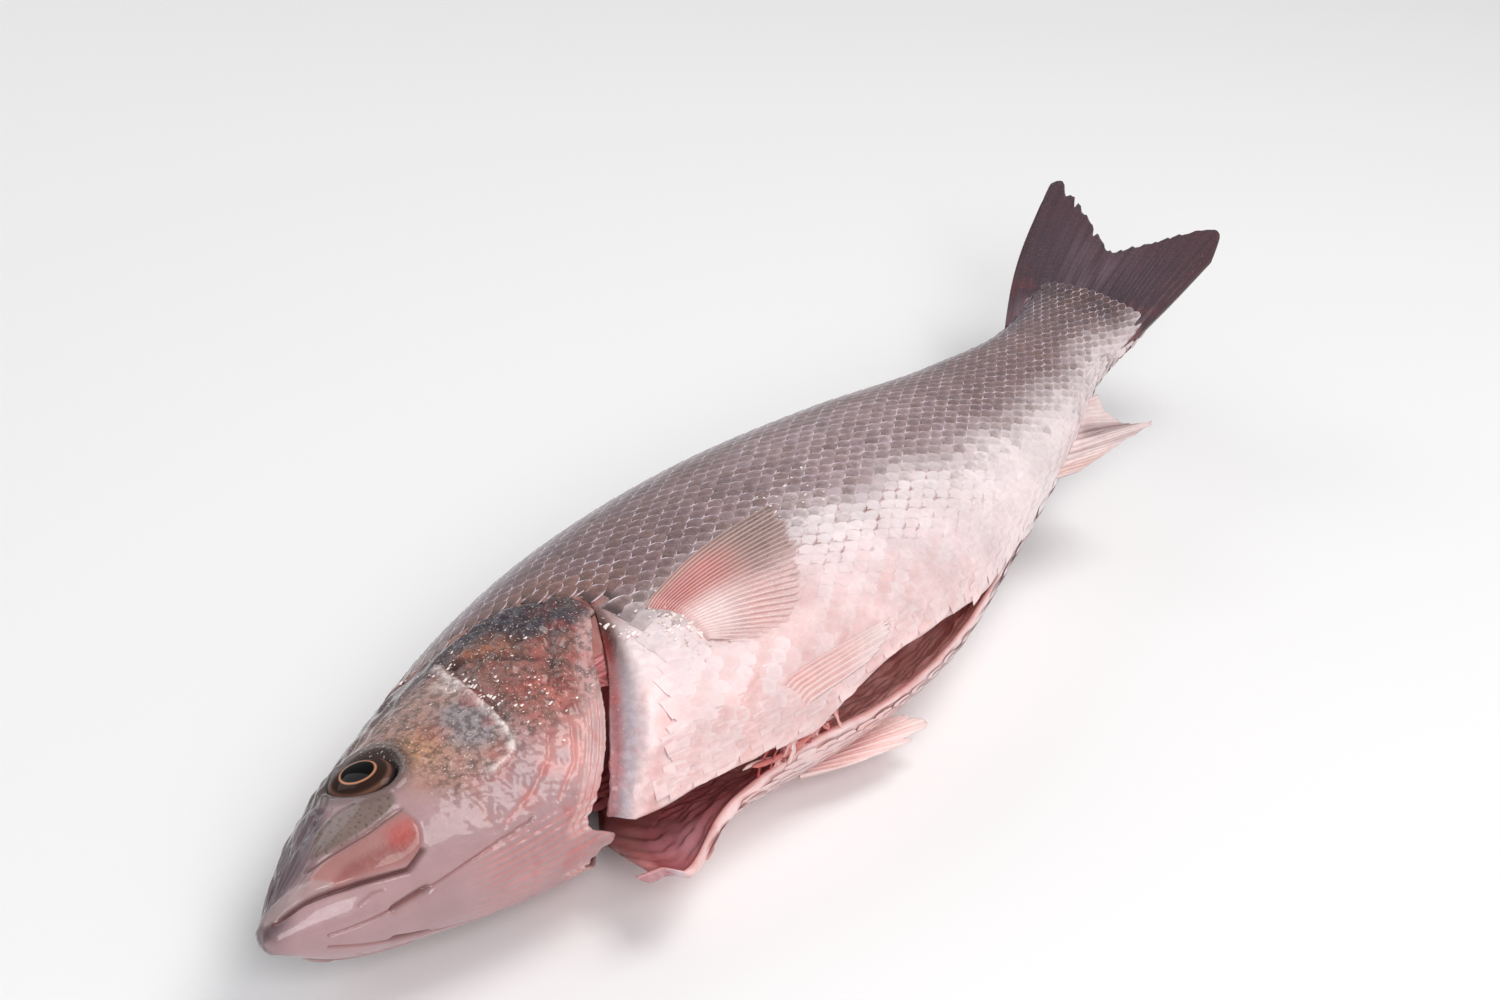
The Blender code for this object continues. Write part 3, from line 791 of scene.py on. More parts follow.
@dataclass
class Shell:
    """A closed shell: an outer face, a lining, and rounded rims between them."""

    name: str
    outer: Array
    inner: Array
    outer_tint: Array
    inner_tint: Array
    rim_tint: Colour
    grain_and_glint: Array
    blood: Array
    split: bool
    rim_steps: int = 3

    def path(self) -> list[tuple[int, int]]:
        """The rim's way round the opening, as rows and columns of the outer face."""
        rows, columns = self.inner.shape[0], self.outer.shape[1]
        across = [(0, j) for j in range(columns)]
        if not self.split:
            return across
        down = [(i, 0) for i in reversed(range(1, rows))]
        return down + across + [(i, columns - 1) for i in range(1, rows)]

    def build(self) -> bpy.types.Object:
        """Makes the shell's mesh.

        Returns:
            The object, without a material.
        """
        rows, columns = self.outer.shape[:2]
        depth = self.inner.shape[0]
        path = self.path()
        points = [self.outer.reshape(-1, 3), self.inner.reshape(-1, 3)]
        tints = [self.outer_tint.reshape(-1, 3), self.inner_tint.reshape(-1, 3)]
        inner_start = rows * columns
        next_start = inner_start + depth * columns
        faces = grid_faces(rows, columns) + grid_faces(depth, columns, inner_start)
        layers = [[i * columns + j for i, j in path]]
        top = np.array([self.outer[i, j] for i, j in path])
        low = np.array([self.inner[i, j] for i, j in path])
        nearby = [(1 if i == 0 else i, min(max(j, 1), columns - 2)) for i, j in path]
        back = np.array([self.outer[i, j] for i, j in nearby])
        push = top - back
        push /= np.maximum(np.linalg.norm(push, axis=1, keepdims=True), 1e-9)
        thick = np.minimum(np.linalg.norm(top - low, axis=1, keepdims=True), 0.010)
        for k in range(1, self.rim_steps + 1):
            t = k / (self.rim_steps + 1)
            points.append(top + (low - top) * t + push * thick * 0.16 * math.sin(math.pi * t))
            edge_tint = np.array([self.outer_tint[i, j] for i, j in path])
            tints.append(edge_tint * (1 - t) + np.array(self.rim_tint) * t)
            layers.append([next_start + n for n in range(len(path))])
            next_start += len(path)
        layers.append([inner_start + i * columns + j for i, j in path])
        for upper, lower in zip(layers, layers[1:]):
            faces += [(upper[n], upper[n + 1], lower[n + 1], lower[n]) for n in range(len(path) - 1)]
        last = [inner_start + (depth - 1) * columns + j for j in range(columns)]
        points.append(self.inner[-1].mean(axis=0, keepdims=True))
        tints.append(self.inner_tint[-1].mean(axis=0, keepdims=True))
        faces += [(last[j], last[j + 1], next_start) for j in range(columns - 1)]
        far = [(rows - 1) * columns + j for j in range(columns)]
        points.append(self.outer[-1].mean(axis=0, keepdims=True))
        tints.append(self.outer_tint[-1].mean(axis=0, keepdims=True))
        faces += [(far[j], far[j + 1], next_start + 1) for j in range(columns - 1)]
        total = next_start + 2
        grain_and_glint, blood = np.zeros(total), np.full(total, 0.25)
        grain_and_glint[:inner_start], blood[:inner_start] = self.grain_and_glint.ravel(), self.blood.ravel()
        placed = SHAPE.place(np.concatenate(points))
        numbers = {"grain_and_glint": grain_and_glint, "blood": blood}
        return mesh_piece(self.name, placed, faces, numbers, np.concatenate(tints), weld=2e-6)


@dataclass
class Trunk:
    """The body behind the gill covers, open along the belly, with its lining."""

    rows: int = 210
    columns: int = 260
    end: float = 0.87
    cavity_end: float = 0.590
    shoulder_depth: float = 0.011
    corner: float = 0.016
    marks: Markings = field(default_factory=Markings)

    def edge_angle(self, u: Array, column: int) -> Array:
        """The angle from the belly's middle line to one edge of the cut."""
        away = np.abs(Curve(BELLY_CUT, column)(u)) / SHAPE.half_width(u)
        return np.degrees(np.arcsin(np.clip(away, 0, 1) ** (1 / SHAPE.belly_fullness)))

    def build(self) -> bpy.types.Object:
        """Makes the trunk.

        Returns:
            Its dressed piece.
        """
        share = np.linspace(0, 1, self.rows)[:, None] ** 1.15
        t = np.linspace(-1, 1, self.columns)[None, :]
        rough_u = 0.192 + (self.end - 0.192) * share
        left = 180 - self.edge_angle(rough_u, 1)
        right = 180 - self.edge_angle(rough_u, 2)
        angle = np.mod(np.where(t < 0, t * right, t * left), 360)
        half = np.minimum(angle, 360 - angle)
        front = SHOULDER_FRONT(half) - self.corner * bell(angle, 191, 9) * (angle > 180)
        u = front + (self.end - front) * share
        slope = self.slope(u, half)
        raw = SHAPE.skin(u, angle)
        bumps = 0.0007 * wander(u, half / 300, 0.04, 11) * smooth(half, 120, 150)
        outer = SHAPE.skin(u, angle, self.shoulder_depth * slope + bumps)
        colour = self.marks.shoulder(self.marks.trunk(u, raw[..., 1], angle), u, angle, slope)
        blood = 0.16 * smooth(half, 100, 150) * smooth(u, 0.66, 0.45) + 0.3 * bell(u - front, 0.0, 0.012)
        grain_and_glint = 0.10 + 0.25 * bell(u - front, 0.0, 0.02)
        outer, colour, blood, grain_and_glint = self.tail_root(outer, colour, blood, grain_and_glint)
        inner, lining = self.lining(u, t, left, right, slope)
        shell = Shell("trunk", outer, inner, colour, lining, tone(214, 138, 132), grain_and_glint, blood, True)
        piece = dress(shell.build(), WetFinish("wet skin").material())
        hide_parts("fish")
        return piece

    def slope(self, u: Array, half: Array) -> Array:
        """How far down the shoulder's slope a point is, 0 on its ridge and 1 at its front edge."""
        front, ridge = SHOULDER_FRONT(half), SHOULDER_RIDGE(half)
        grown = np.clip((half - 80) / 16, 0, 1)
        down = np.clip((ridge - u) / np.maximum(ridge - front, 0.003), 0, 1)
        return grown * smooth(down, -0.15, 1.0)

    def tail_root(self, outer: Array, colour: Array, blood: Array, grain_and_glint: Array) -> tuple[Array, ...]:
        """Adds the thin end of the body inside the tail fin."""
        root = outer[-1]
        ends = []
        for u, depth, width in ((0.883, 0.95, 0.55), (0.895, 0.87, 0.22), (0.902, 0.80, 0.08)):
            ends.append(np.stack([np.full(len(root), u), root[:, 1] * depth, root[:, 2] * width], axis=1))
        repeat = [np.concatenate([a, np.repeat(a[-1:], 3, axis=0)]) for a in (colour, blood, grain_and_glint)]
        return (np.concatenate([outer, np.array(ends)]), *repeat)

    def lining(self, u: Array, t: Array, left: Array, right: Array, slope: Array) -> tuple[Array, Array]:
        """The inside of the belly.

        Args:
            u: Shares along the body at the outer points.
            t: Where each column is, -1 to 1.
            left: The left edge's angle at each row.
            right: The right edge's angle at each row.
            slope: The shoulder's slope at each point.

        Returns:
            Its points and colours.
        """
        count = int(np.sum(u[:, self.columns // 2] < self.cavity_end))
        count = max(count, int(np.sum(u[:, 0] < self.cavity_end)))
        u, left, right = u[:count], left[:count], right[:count]
        roof = SHAPE.angle_at(u, Curve(CAVITY, 1)(u))
        reach = np.where(t < 0, right, left)
        turn = roof + (reach - roof) * np.abs(t)
        angle = np.mod(np.where(t < 0, -turn, turn), 360)
        wall = Curve(CAVITY, 2)(u) * (1 - 0.60 * smooth(np.abs(t), 0.84, 1.0))
        wall = np.maximum(wall, self.shoulder_depth * slope[:count] + 0.0025)
        wall = wall + 0.0012 * wander(u, turn / 300, 0.020, 9) * smooth(np.abs(t), 1.0, 0.9)
        points = SHAPE.skin(u, angle, wall)
        colour = np.ones(points.shape) * np.array(self.marks.flesh)
        colour = blend(colour, tone(196, 118, 122), smooth(u, 0.34, 0.30))
        colour = blend(colour, tone(196, 150, 160), 0.5 * bell(u, 0.235, 0.02) * bell(turn, 160, 12))
        colour = blend(colour, tone(120, 22, 34), 0.85 * smooth(u, 0.222, 0.192))
        colour = blend(
            colour, tone(176, 70, 72),
            0.20 * smooth(turn, 130, 100) + 0.22 * np.abs(wander(u, turn / 300, 0.05, 8)),
        )
        return points, colour


@dataclass
class Head:
    """The head with its plates, creases, jaws, eye sockets and gill covers."""

    rows: int = 230
    columns: int = 330
    cover_thickness: float = 0.0042
    chamber_start: float = 0.13
    marks: Markings = field(default_factory=Markings)

    def strokes(self) -> list[Stroke]:
        """The head's creases and ridges; the dark colours along the sunken creases are painted shade in them.
        """
        # A painted shade for the darkest creases.
        dark = tone(60, 40, 40)
        return [
            Stroke(((0.002, -0.0105), (0.017, -0.0165), (0.036, -0.0285), (0.052, -0.036),
                (0.067, -0.0425), (0.079, -0.0405)),
                   0.0013, -0.0042, tone(92, 40, 38), 0.85),
            Stroke(
                ((0.030, -0.0065), (0.046, -0.0115), (0.064, -0.0150), (0.088, -0.0170)), 0.0012, -0.0016,
                tone(96, 60, 54), 0.7,
            ),
            Stroke(((0.020, 172), (0.036, 168), (0.052, 164.5), (0.070, 160), (0.090, 155), (0.115, 150),
                (0.140, 148)), 0.0009,
                   -0.0016, tone(150, 88, 84), 0.60, True),
            Stroke(
                ((0.052, 165), (0.060, 162), (0.070, 159.5)), 0.0024, -0.0030, tone(126, 84, 78), 0.75, True
            ),
            Stroke(((0.193, 0.054), (0.187, 0.044), (0.181, 0.026), (0.174, 0.004), (0.170, -0.011),
                (0.165, -0.024),
                    (0.157, -0.031), (0.142, -0.032)), 0.0024, 0.0024, tone(255, 240, 236), 1.0, False, 0.45),
            Stroke(((0.199, 0.054), (0.193, 0.040), (0.187, 0.022), (0.181, 0.002), (0.176, -0.012)),
                0.0030, -0.0026,
                   tone(88, 50, 44), 0.62),
            Stroke(
                ((0.196, 0.048), (0.212, 0.030), (0.222, 0.012), (0.228, 0.000)), 0.0030, -0.0024,
                tone(72, 42, 38), 0.80,
            ),
            Stroke(((0.204, 0.056), (0.222, 0.040), (0.236, 0.022)), 0.0022, -0.0012, tone(96, 58, 50), 0.45),
            Stroke(((0.268, 0.040), (0.257, 0.027), (0.238, 0.010), (0.222, -0.006), (0.214, -0.016)),
                0.0028, -0.0020,
                   tone(80, 44, 46), 0.55),
            Stroke(((0.242, 0.056), (0.236, 0.040), (0.226, 0.026)), 0.0026, -0.0012, dark, 0.35),
            Stroke(
                ((0.105, -0.012), (0.118, -0.022), (0.124, -0.036), (0.118, -0.050)), 0.003, -0.0006,
                tone(170, 112, 96), 0.35,
            ),
            Stroke(((0.190, -0.020), (0.186, -0.034), (0.172, -0.046), (0.150, -0.054), (0.125, -0.057)),
                0.0016, -0.0010,
                   tone(206, 132, 126), 0.5),
            Stroke(
                ((0.205, -0.022), (0.198, -0.040), (0.182, -0.056), (0.160, -0.064)), 0.0012, -0.0010,
                tone(212, 128, 122), 0.5,
            ),
            Stroke(
                ((0.036, -0.037), (0.044, -0.038), (0.050, -0.0405)), 0.0008, -0.0006, tone(150, 100, 96), 0.6
            ),
            Stroke(((0.0, 0.000), (0.020, 0.006), (0.040, 0.016)), 0.0016, -0.0008, dark, 0.3),
        ]

    def plates(self) -> list[Plate]:
        """The head's raised plates and its patches of colour."""
        m = self.marks
        return [
            Plate(((0.100, 0.040), (0.150, 0.052), (0.182, 0.048), (0.176, 0.006), (0.168, -0.026),
                (0.130, -0.034),
                   (0.100, -0.020), (0.100, -0.004), (0.122, 0.006)), 0.012, 0.0010, m.cheek, 0.75),
            Plate(((0.158, 0.022), (0.173, 0.014), (0.171, -0.008), (0.162, -0.020), (0.144, -0.016),
                (0.136, -0.002), (0.144, 0.012)), 0.007,
                  0.0, m.cheek_grey, 0.85),
            Plate(((0.186, 0.060), (0.246, 0.068), (0.280, 0.034), (0.262, 0.012), (0.236, 0.020),
                (0.214, 0.034),
                   (0.196, 0.046)), 0.007, 0.0012, m.patch, 0.85),
            Plate(MAXILLA, 0.0024, 0.0018, tone(168, 114, 108), 0.80),
            Plate(((0.030, -0.0235), (0.052, -0.0315), (0.072, -0.039), (0.084, -0.034), (0.080, -0.028),
                (0.060, -0.025), (0.040, -0.020)),
                  0.0030, 0.0, tone(142, 72, 66), 0.70),
            Plate(LACRIMAL, 0.0022, 0.0013, tone(116, 98, 90), 0.9),
            Plate(((0.000, -0.010), (0.016, -0.0165), (0.034, -0.027), (0.024, -0.009), (0.010, -0.003),
                (0.0, -0.002)), 0.0018,
                  0.0012, tone(172, 150, 148), 0.7),
            Plate(((0.070, -0.021), (0.084, -0.022), (0.085, -0.030), (0.076, -0.035), (0.066, -0.030)),
                0.005, 0.0,
                  tone(190, 66, 60), 0.60),
            Plate(((0.198, 0.048), (0.214, 0.050), (0.232, 0.040), (0.228, 0.026), (0.210, 0.026)),
                0.008, 0.0005,
                  tone(186, 120, 92), 0.65),
            Plate(((0.176, 0.042), (0.184, 0.040), (0.180, 0.020), (0.172, 0.020), (0.168, 0.034)),
                0.005, 0.0,
                  tone(232, 216, 210), 0.55),
        ]

    def relief(self, u: Array, v: Array, half: Array) -> Array:
        """How far the head's skin stands out from its plain form.

        Args:
            u: Shares along the body.
            v: Heights.
            half: Degrees from the back, 0 to 180.

        Returns:
            Heights, as shares of the length.
        """
        height = sum(s.height * s.nearness(HEAD_SHAPE.skin(u, half)) for s in self.strokes())
        height = height + sum(p.height * p.inside(u, v) for p in self.plates())
        from_eye = np.hypot(u - EYE_CENTRE[0], v - EYE_CENTRE[1])
        height -= 0.0055 * smooth(from_eye, 0.0200, 0.0150)
        height += 0.0016 * bell(from_eye, 0.0225, 0.0030)
        height -= 0.0028 * bell(np.hypot(u - 0.066, v - 0.021), 0, 0.0024)
        height -= 0.0022 * bell(np.hypot(u - 0.058, v - 0.017), 0, 0.0016)
        from_edge = COVER_EDGE(half) - u
        thin = smooth(half, 84, 96) * smooth(half, 172, 164)
        height -= 0.0012 * thin * smooth(from_edge, 0.020, 0.012)
        height += 0.0006 * thin * np.cos(from_edge * 2 * math.pi / 0.0052) * smooth(from_edge, 0.022, 0.006)
        folds = smooth(half, 146, 156) * smooth(u, 0.085, 0.115)
        height += 0.0006 * folds * np.sin((half + 60 * (u - 0.14)) * 2 * math.pi / 4.6)
        lumps = smooth(u, 0.186, 0.20) * smooth(half, 125, 100) * smooth(half, 45, 58) * smooth(
            from_edge, 0.012, 0.02
        )
        height += 0.0011 * lumps * wander(u * 1.6, v, 0.012, 21)
        height += 0.0007 * wander(u * 0.6, half / 500, 0.020, 23) * smooth(
            v - BACK_BORDER(u), -0.004, 0.008
        ) * smooth(u, 0.004, 0.02)
        height += 0.00035 * wander(u, v, 0.006, 22) * smooth(half, 40, 60) * smooth(u, 0.09, 0.13)
        height -= 0.0016 * bell(from_edge, 0.0, 0.0035) * smooth(half, 80, 60)
        return height

    def colours(self, u: Array, v: Array, half: Array) -> Array:
        """The head's colours.

        Args:
            u: Shares along the body.
            v: Heights.
            half: Degrees from the back, 0 to 180.

        Returns:
            Linear colours.
        """
        m = self.marks
        colour = np.ones(u.shape + (3,)) * np.array(m.jaw)
        colour = blend(colour, m.cover, smooth(u, 0.165, 0.19) * smooth(half, 132, 104))
        colour = blend(
            colour, m.pink,
            smooth(u, 0.150, 0.185) * bell(half, 128, 16) * (0.55 + 0.3 * wander(u, v, 0.02, 31)),
        )
        colour = blend(colour, tone(200, 100, 88), 0.5 * bell(np.hypot(u - 0.212, v + 0.014), 0, 0.014))
        dark = smooth(v - BACK_BORDER(u) + 0.003 * wander(u, v, 0.03, 32), -0.010, 0.010)
        colour = blend(colour, m.snout, 0.95 * dark)
        for plate in self.plates():
            if plate.colour:
                colour = blend(colour, plate.colour, plate.share * plate.inside(u, v))
        from_eye = np.hypot(u - EYE_CENTRE[0], (v - EYE_CENTRE[1]) * 1.05)
        colour = blend(colour, tone(206, 150, 108), 0.75 * bell(np.hypot(u - 0.124, v - 0.008), 0, 0.016))
        colour = blend(colour, tone(84, 66, 60), 0.8 * smooth(from_eye, 0.032, 0.022))
        cells = np.clip(wander(u, v, 0.0035, 33), 0, 1) * bell(from_eye, 0.038, 0.014) * smooth(u, 0.10, 0.12)
        colour = blend(colour, tone(120, 72, 48), 0.55 * cells)
        pores = np.clip(wander(u, v, 0.0030, 34) - 0.55, 0, 1) * Plate(LACRIMAL, 0.002, 0).inside(u, v)
        colour = blend(colour, tone(58, 44, 40), 0.9 * pores)
        colour = blend(colour, tone(52, 42, 42), 0.85 * smooth(from_eye, 0.0235, 0.0190))
        from_edge = COVER_EDGE(half) - u
        thin = smooth(half, 84, 92) * smooth(half, 174, 166) * smooth(from_edge, 0.018, 0.010)
        colour = blend(colour, m.membrane, 0.9 * thin)
        line = 0.5 + 0.5 * np.cos(from_edge * 2 * math.pi / 0.0052 + 0.9)
        colour = blend(colour, tone(208, 112, 108), 0.55 * thin * line**3)
        folds = smooth(half, 146, 156) * smooth(u, 0.085, 0.115)
        colour = blend(
            colour, tone(212, 134, 128),
            0.55 * folds * (0.5 + 0.5 * np.sin((half + 60 * (u - 0.14)) * 2 * math.pi / 4.6 + 2.6)) ** 2,
        )
        # The dark colours along the sunken creases are painted shade in them.
        for stroke in self.strokes():
            if stroke.colour:
                colour = blend(
                    colour, stroke.colour, stroke.share * stroke.nearness(HEAD_SHAPE.skin(u, half))
                )
        return colour

    def build(self) -> bpy.types.Object:
        """Makes the head.

        Returns:
            Its dressed piece.
        """
        share = np.linspace(0, 1, self.rows)[:, None]
        angle = np.linspace(180, -180, self.columns)[None, :]
        angle = np.mod(np.broadcast_to(angle, (self.rows, self.columns)), 360)
        half = np.minimum(angle, 360 - angle)
        edge = COVER_EDGE(half)
        u = edge * (1 - share) ** 1.12
        v = HEAD_SHAPE.skin(u, angle)[..., 1]
        outer = HEAD_SHAPE.skin(u, angle, -self.relief(u, v, half) * smooth(u, 0.0, 0.012))
        colour = self.colours(u, v, half)
        outer, colour, count = self.snout(outer, colour)
        grain_and_glint = smooth(v, -0.045, -0.025) * smooth(u, 0.098, 0.125)
        grain_and_glint = np.concatenate([grain_and_glint, np.repeat(grain_and_glint[-1:], count, axis=0)])
        blood = 0.32 * smooth(half, 60, 90) * smooth(u, 0.10, 0.16)
        blood = np.concatenate([blood, np.repeat(blood[-1:], count, axis=0)])
        depth = int(np.sum(u[:, self.columns // 4] > self.chamber_start))
        inner_u = u[:depth]
        roof = SHAPE.angle_at(inner_u, 0.012)
        turn = np.maximum(half[:depth], roof)
        inner_angle = np.where(angle[:depth] > 180, 360 - turn, turn)
        behind = COVER_EDGE(half[:depth]) - inner_u
        wall = self.cover_thickness + 0.006 * smooth(behind, 0.0, 0.03)
        inner = HEAD_SHAPE.skin(inner_u, inner_angle, wall)
        lining = np.ones(inner.shape) * np.array(self.marks.deep)
        lining = blend(
            lining, tone(180, 110, 106), smooth(behind, 0.016, 0.004) * smooth(half[:depth], 105, 130)
        )
        shell = Shell(
            "head", outer, inner, colour, lining, tone(226, 190, 184), grain_and_glint, blood, False, rim_steps=2
        )
        return dress(
            shell.build(), WetFinish("head skin", film=0.90, film_roughness=0.05, grain_and_glint=1.1).material(),
        )

    def snout(self, outer: Array, colour: Array) -> tuple[Array, Array, int]:
        """Rounds off the snout's tip.

        Args:
            outer: The head's points.
            colour: Their colours.

        Returns:
            Both with the tip's rows added, and the number of rows.
        """
        ring = outer[-1]
        centre = ring.mean(axis=0)
        steps = (0.35, 0.65, 0.88)
        rows = [
            centre + (ring - centre) * math.cos(t * math.pi / 2)
            + np.array([-0.004 * math.sin(t * math.pi / 2), 0, 0]) for t in steps
        ]
        return np.concatenate([outer, np.array(rows)]), np.concatenate(
            [colour, np.repeat(colour[-1:], 3, axis=0)]
        ), 3


@dataclass
class Eye:
    """One eye: a wet dome with a black pupil, a thin copper ring and a dark iris."""

    side: int
    radius: float = 0.0190
    rise: float = 0.0092
    pupil: float = 0.47
    rings: int = 40
    spokes: int = 72

    def build(self) -> bpy.types.Object:
        """Makes the eye.

        Returns:
            Its dressed piece.
        """
        u, v = EYE_CENTRE
        centre = SHAPE.on_flank(np.array(u), np.array(v), self.side, -0.0062)
        angle = float(SHAPE.angle_at(np.array(u), np.array(v))) * self.side
        along, round_it, out = SHAPE.normal(np.array(u), np.array(angle))
        r = np.linspace(0.0, 1.0, self.rings)[:, None]
        turn = np.linspace(0, 2 * math.pi, self.spokes + 1)[None, :-1]
        dome = self.rise * np.sqrt(np.clip(1 - r**2 * 0.96, 0, 1)) + 0 * turn
        x, y = self.radius * r * np.cos(turn), self.radius * 1.02 * r * np.sin(turn)
        base = SHAPE.place(centre)
        points = base + SHAPE.length * (
            x[..., None] * along + y[..., None] * round_it + dome[..., None] * out
        )
        wobble = r * (1 + 0.05 * np.cos(turn - 0.6))
        colour = np.ones(r.shape[:1] + turn.shape[1:] + (3,)) * np.array(tone(30, 24, 24))
        colour = blend(colour, tone(50, 33, 28), smooth(wobble, self.pupil + 0.06, self.pupil + 0.16))
        colour = blend(colour, tone(216, 150, 116), bell(wobble, self.pupil + 0.045, 0.028))
        colour = blend(colour, tone(2, 2, 3), smooth(wobble, self.pupil + 0.02, self.pupil))
        colour = blend(colour, tone(120, 84, 70), 0.8 * bell(wobble, 0.86, 0.05))
        colour = blend(colour, tone(40, 32, 32), smooth(wobble, 0.90, 0.98))
        deep = (base - SHAPE.length * 0.008 * out)[None, :]
        points = np.concatenate([points.reshape(-1, 3), deep])
        colour = np.concatenate([colour.reshape(-1, 3), np.array([tone(20, 16, 16)])])
        name = "eye_left" if self.side > 0 else "eye_right"
        piece = mesh_piece(
            name, points, self.faces(), {"grain_and_glint": np.zeros(len(points)), "blood": np.zeros(len(points))},
            colour,
            weld=1e-7,
        )
        finish = WetFinish(
            "wet eye " + name, film=0.45, film_roughness=0.01, base_gloss=0.0, bump=0.00001, under=0.0
        )
        return dress(piece, finish.material())

    def faces(self) -> list[tuple[int, ...]]:
        """The dome's faces and the cone behind it, down to one point."""
        n = self.spokes
        made: list[tuple[int, ...]] = []
        for i in range(self.rings - 1):
            for j in range(n):
                k = (j + 1) % n
                made.append((i * n + j, i * n + k, (i + 1) * n + k, (i + 1) * n + j))
        last = (self.rings - 1) * n
        made += [(last + j, last + (j + 1) % n, self.rings * n) for j in range(n)]
        return made


Table = tuple[tuple[float, float, float, float], ...]


@dataclass
class Fin:
    """A fin: a thin web over rays that run from its base to its ragged edge."""

    name: str
    base: Table
    tip: Table
    rays: int
    thickness: float
    finish: FinFinish
    paint: Callable[[Array, Array], Array]
    bow: float = 0.0
    side: int = 0
    lift: float = 0.0016
    ragged: float = 0.02
    tears: tuple[tuple[float, float, float], ...] = ()
    clear: float = 0.0
    fade: float = 0.0
    seed: int = 1
    rows: int = 44
    per_ray: int = 8

    def reach(self, t: Array) -> Array:
        """How far each part of the edge reaches, with its frayed ends and tears."""
        chance = np.random.default_rng(self.seed)
        ends = 1 - self.ragged * chance.random(self.rays * 2 + 1)
        between = 1 - self.ragged * 0.6 * (0.5 - 0.5 * np.cos(2 * math.pi * t * (self.rays - 1)))
        reach = np.interp(t, np.linspace(0, 1, len(ends)), ends) * between
        for centre, width, deep in self.tears:
            reach = reach - deep * np.clip(1 - np.abs(t - centre) / width, 0, 1) ** 0.6
        return reach

    def sheet(self, t: Array, s: Array) -> Array:
        """The fin's middle surface in the fish's own terms.

        Args:
            t: Across the rays, 0 to 1.
            s: Along them, 0 to 1.

        Returns:
            Its points.
        """
        a = np.stack([Curve(self.base, k)(t) for k in (1, 2, 3)], axis=-1)
        b = np.stack([Curve(self.tip, k)(t) for k in (1, 2, 3)], axis=-1)
        grown = s * self.reach(t)
        p = a + (b - a) * grown[..., None]
        p[..., 1] += self.bow * np.sin(math.pi * s) * (1 - t)
        if self.side:
            rise = -0.003 + (0.003 + self.lift) * smooth(s, 0.0, 0.14)
            p = SHAPE.on_flank(p[..., 0], p[..., 1], self.side, rise)
        return p

    def build(self) -> bpy.types.Object:
        """Makes the fin.

        Returns:
            Its dressed piece.
        """
        columns = (self.rays - 1) * self.per_ray + 1
        t, s = np.meshgrid(np.linspace(0, 1, columns), np.linspace(0, 1, self.rows), indexing="ij")
        middle = self.sheet(t, s)
        wave = 0.5 + 0.5 * np.cos(2 * math.pi * t * (self.rays - 1))
        twin = 0.5 + 0.5 * np.cos(4 * math.pi * t * (self.rays - 1))
        ridge = wave * (1 - smooth(s, 0.35, 0.6)) + twin * smooth(s, 0.35, 0.6)
        half = self.thickness / 2 * (0.30 + 0.70 * ridge) * (1 - 0.72 * s)
        sway = 0.0008 * np.sin(9 * t + 5 * s) * s
        up = np.array([0.0, 0.0, 1.0])
        front, back = middle + (half + sway)[..., None] * up, middle - (half - sway)[..., None] * up
        points = np.concatenate([front.reshape(-1, 3), back.reshape(-1, 3)])
        count = columns * self.rows
        faces: list[tuple[int, ...]] = list(grid_faces(columns, self.rows))
        faces += [tuple(reversed(f)) for f in grid_faces(columns, self.rows, count)]
        rim = [j * self.rows for j in range(columns)]
        rim += [(columns - 1) * self.rows + i for i in range(1, self.rows)]
        rim += [j * self.rows + self.rows - 1 for j in reversed(range(columns - 1))]
        rim += [i for i in reversed(range(1, self.rows - 1))]
        faces += [(a, b, b + count, a + count) for a, b in zip(rim, rim[1:] + rim[:1])]
        colour = np.tile(self.paint(t, s).reshape(-1, 3), (2, 1))
        plan = np.tile(np.stack([t * (self.rays - 1), s], axis=-1).reshape(-1, 2), (2, 1))
        opened = self.clear * smooth(s, 0.35, 0.90) + self.fade * smooth(t, 0.30, 0.80) * smooth(
            s, 0.10, 0.80
        )
        clear = np.tile(np.clip(opened, 0, 1).ravel(), 2)
        numbers = {
            "grain_and_glint": np.full(len(points), 0.15), "blood": np.tile((0.25 * smooth(s, 0.6, 0.0)).ravel(), 2),
            "clear": clear,
        }
        piece = mesh_piece(self.name, SHAPE.place(points), faces, numbers, colour, ("rays", plan))
        return dress(piece, self.finish.material())


